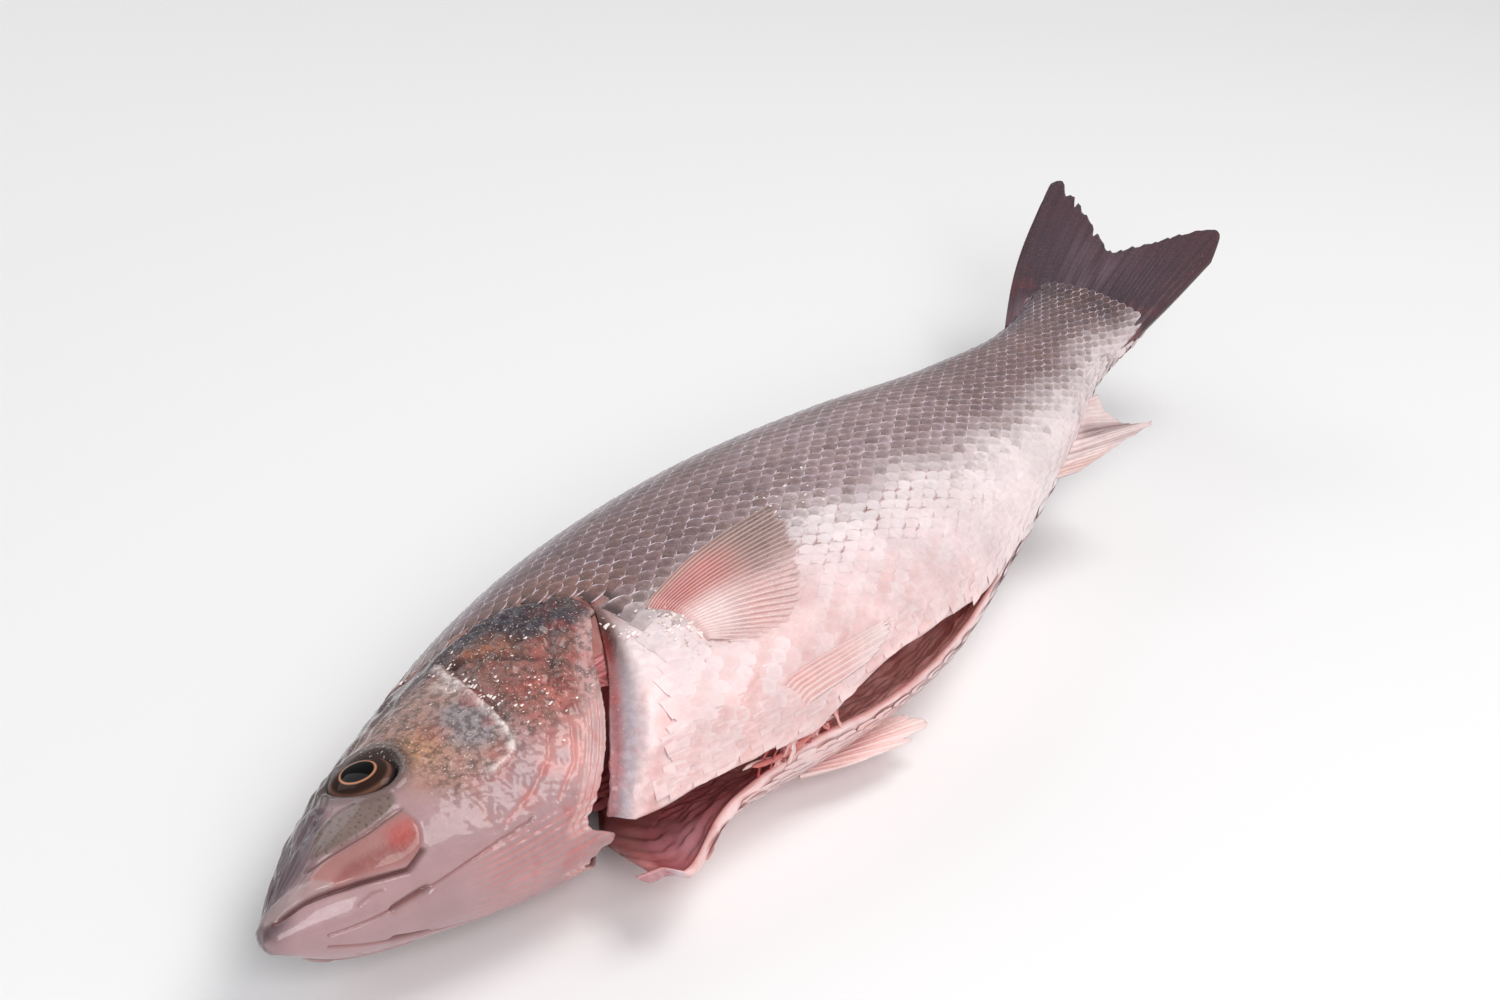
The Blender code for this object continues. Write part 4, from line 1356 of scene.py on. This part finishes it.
class FinSet:
    """All the fins, in their places."""

    def dark(self, t: Array, s: Array) -> Array:
        """The tail fin's purple-grey, browner towards its base."""
        colour = np.ones(t.shape + (3,)) * np.array(tone(72, 54, 64))
        colour = blend(colour, tone(132, 112, 122), smooth(s, 0.34, 0.12))
        colour = blend(colour, tone(206, 180, 176), 0.8 * smooth(s, 0.34, 0.10) * smooth(t, 0.80, 1.0))
        streaks = 0.5 + 0.5 * wander(t * 3.0, s * 0.35, 0.22, 51)
        colour = blend(
            colour, tone(128, 108, 120),
            0.55 * np.clip(streaks, 0, 1) * bell(t, 0.46, 0.20) * smooth(s, 0.25, 0.5),
        )
        edge = np.maximum(smooth(t, 0.12, 0.0), smooth(t, 0.88, 1.0))
        colour = blend(colour, tone(78, 54, 58), 0.6 * edge)
        return blend(colour, tone(66, 50, 58), 0.45 * smooth(s, 0.75, 1.0))

    def rosy(self, t: Array, s: Array) -> Array:
        """A pectoral fin's red-pink, tan at its upper edge and tip."""
        colour = np.ones(t.shape + (3,)) * np.array(tone(200, 112, 106))
        colour = blend(colour, tone(170, 66, 66), 0.9 * bell(t, 0.28, 0.24) * smooth(s, 0.75, 0.20))
        colour = blend(colour, tone(150, 112, 104), 0.85 * smooth(t, 0.16, 0.0))
        colour = blend(colour, tone(176, 148, 140), 0.9 * smooth(s, 0.45, 0.80) * smooth(t, 0.8, 0.3))
        return blend(colour, tone(252, 222, 220), 0.95 * smooth(t, 0.32, 0.66) * smooth(s, -0.2, 0.30))

    def pale(self, t: Array, s: Array) -> Array:
        """A pelvic fin's pale pink."""
        return blend(
            np.ones(t.shape + (3,)) * np.array(tone(232, 176, 172)), tone(244, 216, 212), smooth(s, 0.5, 1.0)
        )

    def streaked(self, t: Array, s: Array) -> Array:
        """The anal fin's white base and dark rays."""
        colour = np.ones(t.shape + (3,)) * np.array(tone(240, 218, 216))
        dark = np.maximum(bell(t, 0.56, 0.13), 0.5 * bell(t, 0.30, 0.06)) * smooth(s, 0.05, 0.40)
        colour = blend(colour, tone(126, 98, 100), 0.95 * dark)
        return blend(colour, tone(214, 160, 148), 0.6 * bell(t, 0.08, 0.08))

    def anal(self) -> Fin:
        """The fin behind the vent."""
        base = ((0, 0.664, -0.070, 0), (1, 0.772, -0.048, 0))
        tip = ((0, 0.700, -0.088, 0.002), (0.2, 0.742, -0.097, 0.003), (0.42, 0.778, -0.106, 0.004),
            (0.55, 0.770, -0.097, 0.004),
               (0.7, 0.766, -0.085, 0.003), (0.85, 0.770, -0.070, 0.003), (1, 0.784, -0.056, 0.002))
        finish = FinFinish("anal fin web", ray=tone(236, 208, 206), ray_share=0.22)
        return Fin("anal_fin", base, tip, 12, 0.0040, finish, self.streaked, ragged=0.05, seed=4)

    def tail(self) -> Fin:
        """The forked tail fin."""
        base = ((0, 0.800, 0.032, 0), (0.5, 0.826, -0.004, 0), (1, 0.828, -0.043, 0))
        tip = (
            (0.00, 0.985, 0.097, 0.000),
            (0.05, 1.012, 0.1025, 0.000),
            (0.09, 1.022, 0.0998, 0.000),
            (0.15, 1.008, 0.080, 0.001),
            (0.26, 0.989, 0.059, 0.002),
            (0.40, 0.966, 0.034, 0.003),
            (0.50, 0.951, 0.018, 0.004),
            (0.60, 0.962, 0.006, 0.006),
            (0.76, 0.982, -0.014, 0.009),
            (0.88, 0.996, -0.031, 0.012),
            (0.94, 1.006, -0.047, 0.014),
            (0.97, 1.000, -0.054, 0.014),
            (1.00, 0.968, -0.060, 0.012),
        )
        finish = FinFinish(
            "tail web", film=0.35, film_roughness=0.16, base_gloss=0.25, ray=tone(58, 44, 52), ray_share=0.30
        )
        tears = ((0.13, 0.012, 0.040), (0.18, 0.012, 0.050), (0.36, 0.012, 0.045))
        return Fin(
            "caudal_fin", base, tip, 19, 0.0058, finish, self.dark, bow=0.007, ragged=0.02, tears=tears,
            seed=5,
        )

    def dorsal(self, name: str, first: float, last: float, reach: float, height: float, rays: int) -> Fin:
        """A fin folded back along the ridge of the back, leaning to the lower side."""
        base = tuple(
            (t, first + (last - first) * t, float(SHAPE.back(first + (last - first) * t)) - 0.006, 0.001)
            for t in (0, 0.5, 1)
        )
        tip = tuple(
            (
                t,
                first + (last - first) * t + reach * (1 - 0.35 * t),
                float(SHAPE.back(first + (last - first) * t)) + height * math.sin(math.pi * (0.22 + 0.6 * t)),
                -0.008,
            )
            for t in (0, 0.25, 0.5, 0.75, 1)
        )
        finish = FinFinish(name + " web", ray=tone(150, 132, 136), ray_share=0.5)
        return Fin(name, base, tip, rays, 0.0040, finish, self.dark, ragged=0.04, seed=6, rows=16)

    def pectoral(self, side: int) -> Fin:
        """A fin behind the gill cover, folded back along the flank."""
        base = ((0, 0.288, -0.012, 0), (0.5, 0.299, -0.028, 0), (1, 0.302, -0.050, 0))
        tip = (
            (0, 0.441, 0.002, 0), (0.3, 0.424, -0.026, 0), (0.6, 0.394, -0.053, 0), (0.85, 0.358, -0.071, 0),
            (1, 0.326, -0.067, 0),
        )
        name = "pectoral_left" if side > 0 else "pectoral_right"
        finish = FinFinish(name + " web", ray=tone(250, 214, 206), ray_share=0.55, hatch=0.20)
        return Fin(
            name, base, tip, 27, 0.0013, finish, self.rosy, bow=0.006, side=side, lift=0.0021, ragged=0.06,
            clear=0.70, fade=0.85, seed=7,
        )

    def pelvic_left(self) -> Fin:
        """The upper pelvic fin, lying along the left belly flap."""
        base = ((0, 0.314, -0.093, 0), (1, 0.326, -0.106, 0))
        tip = ((0, 0.424, -0.101, 0), (0.5, 0.418, -0.106, 0), (1, 0.392, -0.110, 0))
        finish = FinFinish("upper pelvic web", ray=tone(252, 230, 226), ray_share=0.6)
        return Fin("pelvic_left", base, tip, 7, 0.0034, finish, self.pale, side=1, ragged=0.06, seed=8)

    def pelvic_right(self) -> Fin:
        """The lower pelvic fin, which stands off the right belly flap."""
        base = ((0, 0.350, -0.086, -0.033), (1, 0.336, -0.104, -0.030))
        tip = ((0, 0.432, -0.105, -0.035), (0.3, 0.449, -0.119, -0.036), (0.5, 0.446, -0.128, -0.036),
            (0.75, 0.414, -0.128, -0.035),
               (1, 0.382, -0.121, -0.034))
        finish = FinFinish("lower pelvic web", ray=tone(252, 230, 226), ray_share=0.6)
        return Fin(
            "pelvic_right", base, tip, 8, 0.0040, finish, self.pale, ragged=0.07,
            tears=((0.3, 0.05, 0.07), (0.62, 0.05, 0.10)), seed=9,
        )

    def build(self) -> list[bpy.types.Object]:
        """Makes every fin."""
        fins = [self.tail(), self.anal(), self.dorsal("spiny_dorsal_fin", 0.30, 0.49, 0.045, 0.005, 9)]
        fins += [
            self.dorsal("soft_dorsal_fin", 0.53, 0.66, 0.050, 0.007, 12), self.pectoral(1), self.pectoral(-1)
        ]
        fins += [self.pelvic_left(), self.pelvic_right()]
        return [fin.build() for fin in fins]


@dataclass
class ScaleCoat:
    """The coat of overlapping scales, laid in rows from the nape to the tail."""

    row_pitch: float = 0.0093
    column_pitch: float = 0.0098
    first: float = 0.176
    last: float = 0.885
    length_share: float = 2.1
    width_share: float = 1.32
    seed: int = 12
    marks: Markings = field(default_factory=Markings)

    def template(self) -> bpy.types.Object:
        """One scale: a rounded plate, sunk at its root and lifted at its free edge.

        Returns:
            The plate, -1 to 1 along and across.
        """
        rows, columns = 6, 6
        a = 1 - 2 * np.linspace(1, 0, rows)[:, None] ** 1.35
        b = np.linspace(-1, 1, columns)[None, :]
        x = a + 0 * b
        y = b * np.sqrt(np.clip(1 - np.clip((a + 0.30) / 1.30, 0, 1) ** 2, 0, 1))
        z = 0.040 + 0.080 * a - 0.040 * y**2
        top = np.stack([x, y, z], axis=-1).reshape(-1, 3)
        plan = np.stack([(a + 1) / 2 + 0 * b, (b + 1) / 2 + 0 * a], axis=-1).reshape(-1, 2)
        piece = mesh_piece("scale_pattern", top, grid_faces(rows, columns), plan=("plate", plan))
        if piece.data.polygons[0].normal.z < 0:
            piece.data.flip_normals()
        bpy.context.scene.collection.objects.unlink(piece)
        return piece

    def rows(self) -> tuple[Array, Array]:
        """Where the scales sit: columns keep their pitch from the flank's middle line outwards.

        Returns:
            The share along the body and the angle of each scale.
        """
        us, angles = [], []
        u, number = self.first, 0
        fine = np.linspace(0, 180, 241)
        while u < self.last:
            shrink = float(np.interp(u, (0.17, 0.30, 0.55, 0.75, 0.88), (0.80, 1.0, 1.0, 0.80, 0.66)))
            ring = SHAPE.place(SHAPE.skin(u, fine)) / SHAPE.length
            run = np.concatenate([[0], np.cumsum(np.linalg.norm(np.diff(ring, axis=0), axis=1))])
            middle = float(np.interp(92, fine, run))
            pitch = self.column_pitch * shrink
            steps = np.arange(-40, 41) * pitch + (number % 2) * pitch / 2 + middle
            steps = steps[(steps > 0.2 * pitch) & (steps < run[-1] - 0.2 * pitch)]
            there = np.interp(steps, run, fine)
            for angle in np.concatenate([there, 360 - there]):
                us.append(u)
                angles.append(angle)
            u += self.row_pitch * shrink
            number += 1
        return np.array(us), np.array(angles)

    def kept(self, u: Array, angle: Array) -> Array:
        """Which scales are on skin: behind the nape and the shoulder, and off the belly's cut."""
        half = np.minimum(angle, 360 - angle)
        trunk = Trunk()
        edge = np.where(angle < 180, trunk.edge_angle(u, 1), trunk.edge_angle(u, 2))
        margin = np.where(u < 0.60, 4.0, 0.0)
        behind = u > SHOULDER_RIDGE(half) + np.interp(half, (74, 84, 100, 112), (0.006, 0.007, 0.012, 0.019))
        return behind & (half < 180 - edge - margin)

    def points(self) -> bpy.types.Object:
        """The seats of the scales, with how each one lies, its size and its tint.

        Returns:
            A mesh of points.
        """
        u, angle = self.rows()
        keep = self.kept(u, angle)
        u, angle = u[keep], angle[keep]
        chance = np.random.default_rng(self.seed)
        u = u + chance.normal(0, 0.00035, len(u))
        half = np.minimum(angle, 360 - angle)
        along, round_it, out = SHAPE.normal(u, angle)
        twist = chance.normal(0, 0.05, len(u))[:, None]
        along = along * np.cos(twist) + round_it * np.sin(twist)
        side = np.cross(out, along)
        turn = np.stack([along, side, out], axis=-1)
        lie = np.array([Matrix(m.tolist()).to_euler()[:] for m in turn])
        shrink = np.interp(u, (0.17, 0.30, 0.55, 0.75, 0.88), (0.80, 1.0, 1.0, 0.80, 0.66))
        seat = SHAPE.skin(u, angle)
        shade = smooth(seat[:, 1] - BACK_BORDER(u) + 0.010 * chance.normal(0, 1, len(u)), -0.032, 0.020)
        flat = 1 - 0.72 * (1 - shade) * np.maximum(smooth(half, 95, 135), smooth(u, 0.52, 0.66))
        rim = 180 - np.where(angle < 180, Trunk().edge_angle(u, 1), Trunk().edge_angle(u, 2)) - half
        flat = flat * smooth(u - SHOULDER_RIDGE(half), 0.000, 0.030) * np.where(
            u < 0.62, smooth(rim, 2.0, 16.0), 1.0
        )
        size = np.stack(
            [
                self.row_pitch * shrink * self.length_share / 2,
                self.column_pitch * shrink * self.width_share / 2,
                self.row_pitch * shrink * flat,
            ],
            axis=-1,
        ) * SHAPE.length
        colour = self.marks.trunk(u, seat[:, 1], angle)
        colour *= (1 + chance.normal(0, 0.015 + 0.085 * shade))[:, None]
        colour = blend(
            colour, tone(150, 108, 84), 0.30 * shade * chance.random(len(u)) * smooth(half, 30, 60)
        )
        off_border = seat[:, 1] - BACK_BORDER(u)
        # Strength of the painted shadow arcs on the pale scales.
        shadow_crescent = 0.95 * bell(off_border, -0.022, 0.030) * smooth(u, 0.34, 0.42) * smooth(u, 0.66, 0.52)
        shadow_crescent = shadow_crescent * (0.35 + 0.65 * chance.random(len(u))) + 0.16 * smooth(half, 150, 100)
        numbers = {"shade": shade, "shadow_crescent": shadow_crescent, "grain_and_glint": 0.12 + 0.4 * shade,
                   "blood": 0.10 * smooth(half, 100, 140) * smooth(u, 0.7, 0.5)}
        return seat_mesh("scales", SHAPE.place(seat), lie, size, numbers, colour)

    def build(self) -> bpy.types.Object:
        """Lays a plate on every seat.

        Returns:
            The dressed coat.
        """
        material = ScaleFinish("scale", film=0.5, film_roughness=0.12, bump=0.00008).material()
        piece = scatter(self.points(), self.template(), material)
        settle(piece)
        return dress(piece, material)


def seat_mesh(
    name: str, places: Array, lie: Array, size: Array, numbers: dict[str, Array], colour: Array
) -> bpy.types.Object:
    """A mesh of points on which a pattern is laid.

    Args:
        name: The object's name.
        places: Points in metres.
        lie: Euler angles of each copy.
        size: Scale of each copy.
        numbers: Named numbers, one for each point.
        colour: A linear colour for each point.

    Returns:
        The linked object.
    """
    mesh = bpy.data.meshes.new(name)
    mesh.from_pydata([tuple(p) for p in places], [], [])
    for key, values in (("lie", lie), ("size", size)):
        mesh.attributes.new(key, "FLOAT_VECTOR", "POINT").data.foreach_set(
            "vector", values.astype(np.float32).ravel()
        )
    for key, values in numbers.items():
        mesh.attributes.new(key, "FLOAT", "POINT").data.foreach_set("value", values.astype(np.float32))
    full = np.concatenate([np.clip(colour, 0, 1), np.ones((len(places), 1))], axis=1)
    mesh.attributes.new("tint", "FLOAT_COLOR", "POINT").data.foreach_set(
        "color", full.astype(np.float32).ravel()
    )
    seats = bpy.data.objects.new(name, mesh)
    bpy.context.scene.collection.objects.link(seats)
    return seats


def scatter(
    seats: bpy.types.Object, pattern: bpy.types.Object, material: bpy.types.Material
) -> bpy.types.Object:
    """Puts a copy of a pattern on every seat with Geometry Nodes and keeps the plain mesh.

    Args:
        seats: Points with the attributes lie and size.
        pattern: What is copied.
        material: What the copies are made of.

    Returns:
        The seats' object, now holding the mesh.
    """
    tree = bpy.data.node_groups.new("laid in rows", "GeometryNodeTree")
    tree.interface.new_socket("Seats", in_out="INPUT", socket_type="NodeSocketGeometry")
    wanted = tree.interface.new_socket("Pattern", in_out="INPUT", socket_type="NodeSocketObject")
    finish = tree.interface.new_socket("Finish", in_out="INPUT", socket_type="NodeSocketMaterial")
    tree.interface.new_socket("Coat", in_out="OUTPUT", socket_type="NodeSocketGeometry")
    w = Wiring(tree)
    given = w.add("NodeGroupInput").outputs
    info = w.add("GeometryNodeObjectInfo", {"Object": given["Pattern"]})
    lie = w.add(
        "GeometryNodeInputNamedAttribute", {"Name": "lie"}, data_type="FLOAT_VECTOR"
    ).outputs["Attribute"]
    size = w.add(
        "GeometryNodeInputNamedAttribute", {"Name": "size"}, data_type="FLOAT_VECTOR"
    ).outputs["Attribute"]
    turn = w.add("FunctionNodeEulerToRotation", {0: lie}).outputs[0]
    values = {"Points": given["Seats"], "Instance": info.outputs["Geometry"], "Rotation": turn, "Scale": size}
    copies = w.add("GeometryNodeInstanceOnPoints", values).outputs[0]
    plain = w.add("GeometryNodeRealizeInstances", {0: copies}).outputs[0]
    done = w.add("GeometryNodeSetMaterial", {"Geometry": plain, "Material": given["Finish"]}).outputs[0]
    w.add("NodeGroupOutput", {0: done})
    modifier = seats.modifiers.new("coat", "NODES")
    modifier.node_group = tree
    modifier[wanted.identifier] = pattern
    modifier[finish.identifier] = material
    view = bpy.context.evaluated_depsgraph_get()
    mesh = bpy.data.meshes.new_from_object(seats.evaluated_get(view), depsgraph=view)
    seats.modifiers.clear()
    seats.data = mesh
    mesh.shade_smooth()
    return seats


def settle(piece: bpy.types.Object) -> None:
    """Keeps every point of a piece above the table."""
    mesh = piece.data
    flat = np.empty(len(mesh.vertices) * 3, np.float32)
    mesh.vertices.foreach_get("co", flat)
    flat = flat.reshape(-1, 3)
    low = 0.0012
    flat[:, 2] = np.where(flat[:, 2] < low, low * np.exp(np.minimum(flat[:, 2], low) / low - 1), flat[:, 2])
    mesh.vertices.foreach_set("co", flat.ravel())
    mesh.update()


@dataclass
class GlintFlakes:
    """Loose bright flakes on the gill cover, round the pectoral fin's base and along the back's border:
    partly loose scales, partly painted glints of the wet skin.
    """

    seed: int = 41
    patches: tuple[tuple[float, float, float, float, int], ...] = (
        (0.304, -0.034, 0.009, 0.011, 150),
        (0.214, 0.038, 0.018, 0.012, 50),
        (0.205, 0.002, 0.014, 0.016, 30),
        (0.272, -0.010, 0.003, 0.008, 24),
        (0.182, 0.018, 0.003, 0.022, 60),
        (0.450, -0.006, 0.030, 0.010, 30),
    )

    def build(self) -> bpy.types.Object:
        """Strews the flakes over both flanks.

        Returns:
            The dressed piece.
        """
        chance = np.random.default_rng(self.seed)
        u = np.concatenate([chance.normal(c, a, n) for c, _, a, _, n in self.patches])
        v = np.concatenate([chance.normal(c, b, n) for _, c, _, b, n in self.patches])
        angle = SHAPE.angle_at(u, v)
        angle = np.where(chance.random(len(u)) < 0.75, angle, 360 - angle)
        along, _, out = SHAPE.normal(u, angle)
        out = out + chance.normal(0, 0.22, out.shape)
        out /= np.linalg.norm(out, axis=1, keepdims=True)
        side = np.cross(out, along)
        side /= np.linalg.norm(side, axis=1, keepdims=True)
        turn = np.stack([np.cross(side, out), side, out], axis=-1)
        lie = np.array([Matrix(m.tolist()).to_euler()[:] for m in turn])
        wide = chance.uniform(0.00012, 0.00034, len(u))
        size = np.stack([wide * chance.uniform(1.0, 2.4, len(u)), wide, wide * 0.6], axis=-1)
        lift = np.where(u < 0.27, 0.0008, 0.0012)
        places = SHAPE.place(SHAPE.skin(u, angle, -lift))
        # Their near-white colour is partly a painted glint.
        colour = np.ones((len(u), 3)) * np.array(tone(246, 228, 222))
        numbers = {
            "shade": np.zeros(len(u)), "shadow_crescent": np.zeros(len(u)), "grain_and_glint": np.zeros(len(u)),
            "blood": np.zeros(len(u)),
        }
        material = ScaleFinish("glint_flake", film=0.8, film_roughness=0.08, base_gloss=0.5, under=0.0).material()
        pattern = ScaleCoat().template()
        piece = scatter(seat_mesh("flakes", places, lie, size, numbers, colour), pattern, material)
        settle(piece)
        return dress(piece, material)


def strand(way: Array, radius: Array, sides: int = 8) -> tuple[Array, list[tuple[int, ...]]]:
    """A closed, tapering strip of flesh along a line.

    Args:
        way: Points along its middle.
        radius: Half its thickness at each point.
        sides: Points round it.

    Returns:
        Its points and faces.
    """
    along = np.gradient(way, axis=0)
    along /= np.linalg.norm(along, axis=1, keepdims=True)
    side = np.cross(along, np.array([0.3, 1.0, 0.2]))
    side /= np.linalg.norm(side, axis=1, keepdims=True)
    other = np.cross(along, side)
    turn = np.linspace(0, 2 * math.pi, sides + 1)[:-1]
    ring = np.cos(turn)[None, :, None] * side[:, None] + 0.7 * np.sin(turn)[None, :, None] * other[:, None]
    points = (way[:, None] + ring * radius[:, None, None]).reshape(-1, 3)
    count = len(way)
    faces: list[tuple[int, ...]] = []
    for i in range(count - 1):
        for j in range(sides):
            k = (j + 1) % sides
            faces.append((i * sides + j, i * sides + k, (i + 1) * sides + k, (i + 1) * sides + j))
    for j in range(sides):
        k = (j + 1) % sides
        faces += [
            (k, j, count * sides), ((count - 1) * sides + j, (count - 1) * sides + k, count * sides + 1)
        ]
    return np.concatenate([points, way[:1], way[-1:]]), faces


@dataclass
class Shreds:
    """Torn flesh across the belly's cut, where the pelvic bones still hold its two sides together."""

    seed: int = 31
    marks: Markings = field(default_factory=Markings)

    def ways(self) -> list[tuple[Array, float, Colour]]:
        """Each strip's way, its thickness and its colour.

        Returns:
            Strips in the fish's own terms.
        """
        chance = np.random.default_rng(self.seed)
        t = np.linspace(0, 1, 14)[:, None]
        trunk, made = Trunk(), []
        pinks = (tone(232, 168, 162), tone(206, 118, 112), tone(170, 74, 74), tone(240, 200, 194))
        for n in range(30):
            u = chance.uniform(0.306, 0.356)
            ends = []
            for column, side, spread in ((1, -1, 0.004), (2, 1, 0.011)):
                at = u + chance.normal(0, spread)
                edge = 180 + side * (float(trunk.edge_angle(np.array(at), column)) + chance.uniform(0.5, 5.0))
                ends.append(SHAPE.skin(np.array(at), np.array(edge), chance.uniform(0.001, 0.006)))
            way = ends[0] + (ends[1] - ends[0]) * t
            way = way + np.array([0, 1, 0]) * np.sin(math.pi * t) * chance.uniform(0.000, 0.006)
            way = way + np.cumsum(chance.normal(0, 0.00035, way.shape), axis=0) * np.sin(math.pi * t)
            made.append((way, chance.uniform(0.0005, 0.0017), pinks[n % 4]))
        for n in range(9):
            start, run = chance.uniform(0.285, 0.335), chance.uniform(0.03, 0.06)
            u = start + run * t
            w = chance.uniform(-0.006, 0.006) + 0.004 * np.sin(4 * t + n)
            v = SHAPE.belly(u) + 0.005 + chance.uniform(0.0, 0.007) + 0.002 * np.sin(5 * t + 2 * n)
            made.append(
                (np.concatenate([u, v, w], axis=1), chance.uniform(0.0012, 0.0030), pinks[(n * 2 + 1) % 4])
            )
        return made

    def build(self) -> bpy.types.Object:
        """Makes all the strips as one piece.

        Returns:
            The dressed piece.
        """
        points, faces, colour, start = [], [], [], 0
        for way, thick, tint in self.ways():
            t = np.linspace(0, 1, len(way))
            radius = thick * (0.25 + np.sin(math.pi * t) ** 0.5 * (1 + 0.3 * np.sin(17 * t)))
            some, more = strand(way, radius)
            points.append(some)
            faces += [tuple(start + k for k in f) for f in more]
            colour.append(np.ones((len(some), 3)) * np.array(tint))
            start += len(some)
        placed = SHAPE.place(np.concatenate(points))
        numbers = {"grain_and_glint": np.zeros(start), "blood": np.full(start, 0.35)}
        piece = mesh_piece("belly_shreds", placed, faces, numbers, np.concatenate(colour))
        finish = WetFinish("torn flesh", film=0.9, film_roughness=0.06, under=0.2)
        return dress(piece, finish.material())


@dataclass
class Studio:
    """The pale floor, the soft lamps and the camera."""

    eye: tuple[float, float, float] = (-0.7315, -0.7470, 0.8599)
    ahead: tuple[float, float, float] = (0.7274, 0.4757, -0.4945)
    right: tuple[float, float, float] = (0.5879, -0.8037, 0.0917)
    lens: float = 62.6

    def camera(self) -> None:
        """Adds the camera."""
        data = bpy.data.cameras.new("camera")
        data.lens, data.sensor_width = self.lens, 36.0
        data.clip_start, data.clip_end = 0.01, 50
        made = bpy.data.objects.new("camera", data)
        bpy.context.scene.collection.objects.link(made)
        ahead, right = Vector(self.ahead).normalized(), Vector(self.right).normalized()
        up = right.cross(ahead)
        where = Vector(SHAPE.place(np.array(self.eye)).tolist())
        rows = [(right[i], up[i], -ahead[i], where[i]) for i in range(3)]
        made.matrix_world = Matrix([*rows, (0, 0, 0, 1)])
        bpy.context.scene.camera = made

    def floor(self) -> None:
        """Adds the floor, which keeps the fish's shadow."""
        bpy.ops.mesh.primitive_plane_add(size=14)
        made = bpy.context.object
        made.name = "floor"
        material = bpy.data.materials.new("pale floor")
        material.use_nodes = True
        shader = material.node_tree.nodes["Principled BSDF"]
        shader.inputs["Base Color"].default_value = (0.92, 0.92, 0.92, 1)
        shader.inputs["Roughness"].default_value = 0.9
        shader.inputs["Specular IOR Level"].default_value = 0.1
        made.data.materials.append(material)

    def lamp(
        self, name: str, where: tuple[float, float, float], size: float, watts: float, colour: Colour
    ) -> None:
        """Adds one square soft lamp that faces the fish."""
        data = bpy.data.lights.new(name, "AREA")
        data.shape, data.size, data.energy, data.color = "SQUARE", size, watts, colour
        made = bpy.data.objects.new(name, data)
        bpy.context.scene.collection.objects.link(made)
        made.location = where
        made.rotation_euler = (Vector((0, 0, 0.03)) - Vector(where)).to_track_quat("-Z", "Y").to_euler()

    def world(self) -> None:
        """Fills the room with even light."""
        made = bpy.data.worlds.new("room")
        made.use_nodes = True
        w = Wiring(made.node_tree)
        back = made.node_tree.nodes["Background"]
        path = w.add("ShaderNodeLightPath").outputs
        seen = w.math("MAXIMUM", path["Is Camera Ray"], path["Is Transmission Ray"])
        w.put(back.inputs["Strength"], w.math("ADD", 0.36, w.math("MULTIPLY", seen, 0.62)))
        back.inputs["Color"].default_value = (1, 1, 1, 1)
        bpy.context.scene.world = made

    def build(self) -> None:
        """Sets up the whole studio."""
        self.camera()
        self.floor()
        self.world()
        self.lamp("key", (0.40, -0.25, 1.10), 0.6, 6.2, (1.0, 0.98, 0.97))
        self.lamp("fill", (-0.62, -0.66, 0.66), 0.5, 5.6, (0.99, 0.98, 1.0))
        self.lamp("rim", (-0.1, 1.0, 0.7), 0.7, 2.4, (0.93, 0.94, 1.0))
        bpy.context.scene.view_settings.view_transform = "Standard"


def report(pieces: Sequence[bpy.types.Object]) -> None:
    """Says what was made."""
    for piece in pieces:
        LOG.info("%s: %d points, %d faces", piece.name, len(piece.data.vertices), len(piece.data.polygons))


def plain(bounds: object) -> list:
    """A box as plain lists of numbers."""
    return [[float(c) for c in corner] for corner in bounds]


def main() -> None:
    """Builds the fish and the studio."""
    logging.basicConfig(level=logging.INFO, format="%(name)s: %(message)s")
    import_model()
    report([Trunk().build()])
    report([Head().build()])
    report([Eye(1).build(), Eye(-1).build()])
    report(FinSet().build())
    report([ScaleCoat().build(), GlintFlakes().build(), Shreds().build()])
    Studio().build()


if __name__ == "__main__":
    main()
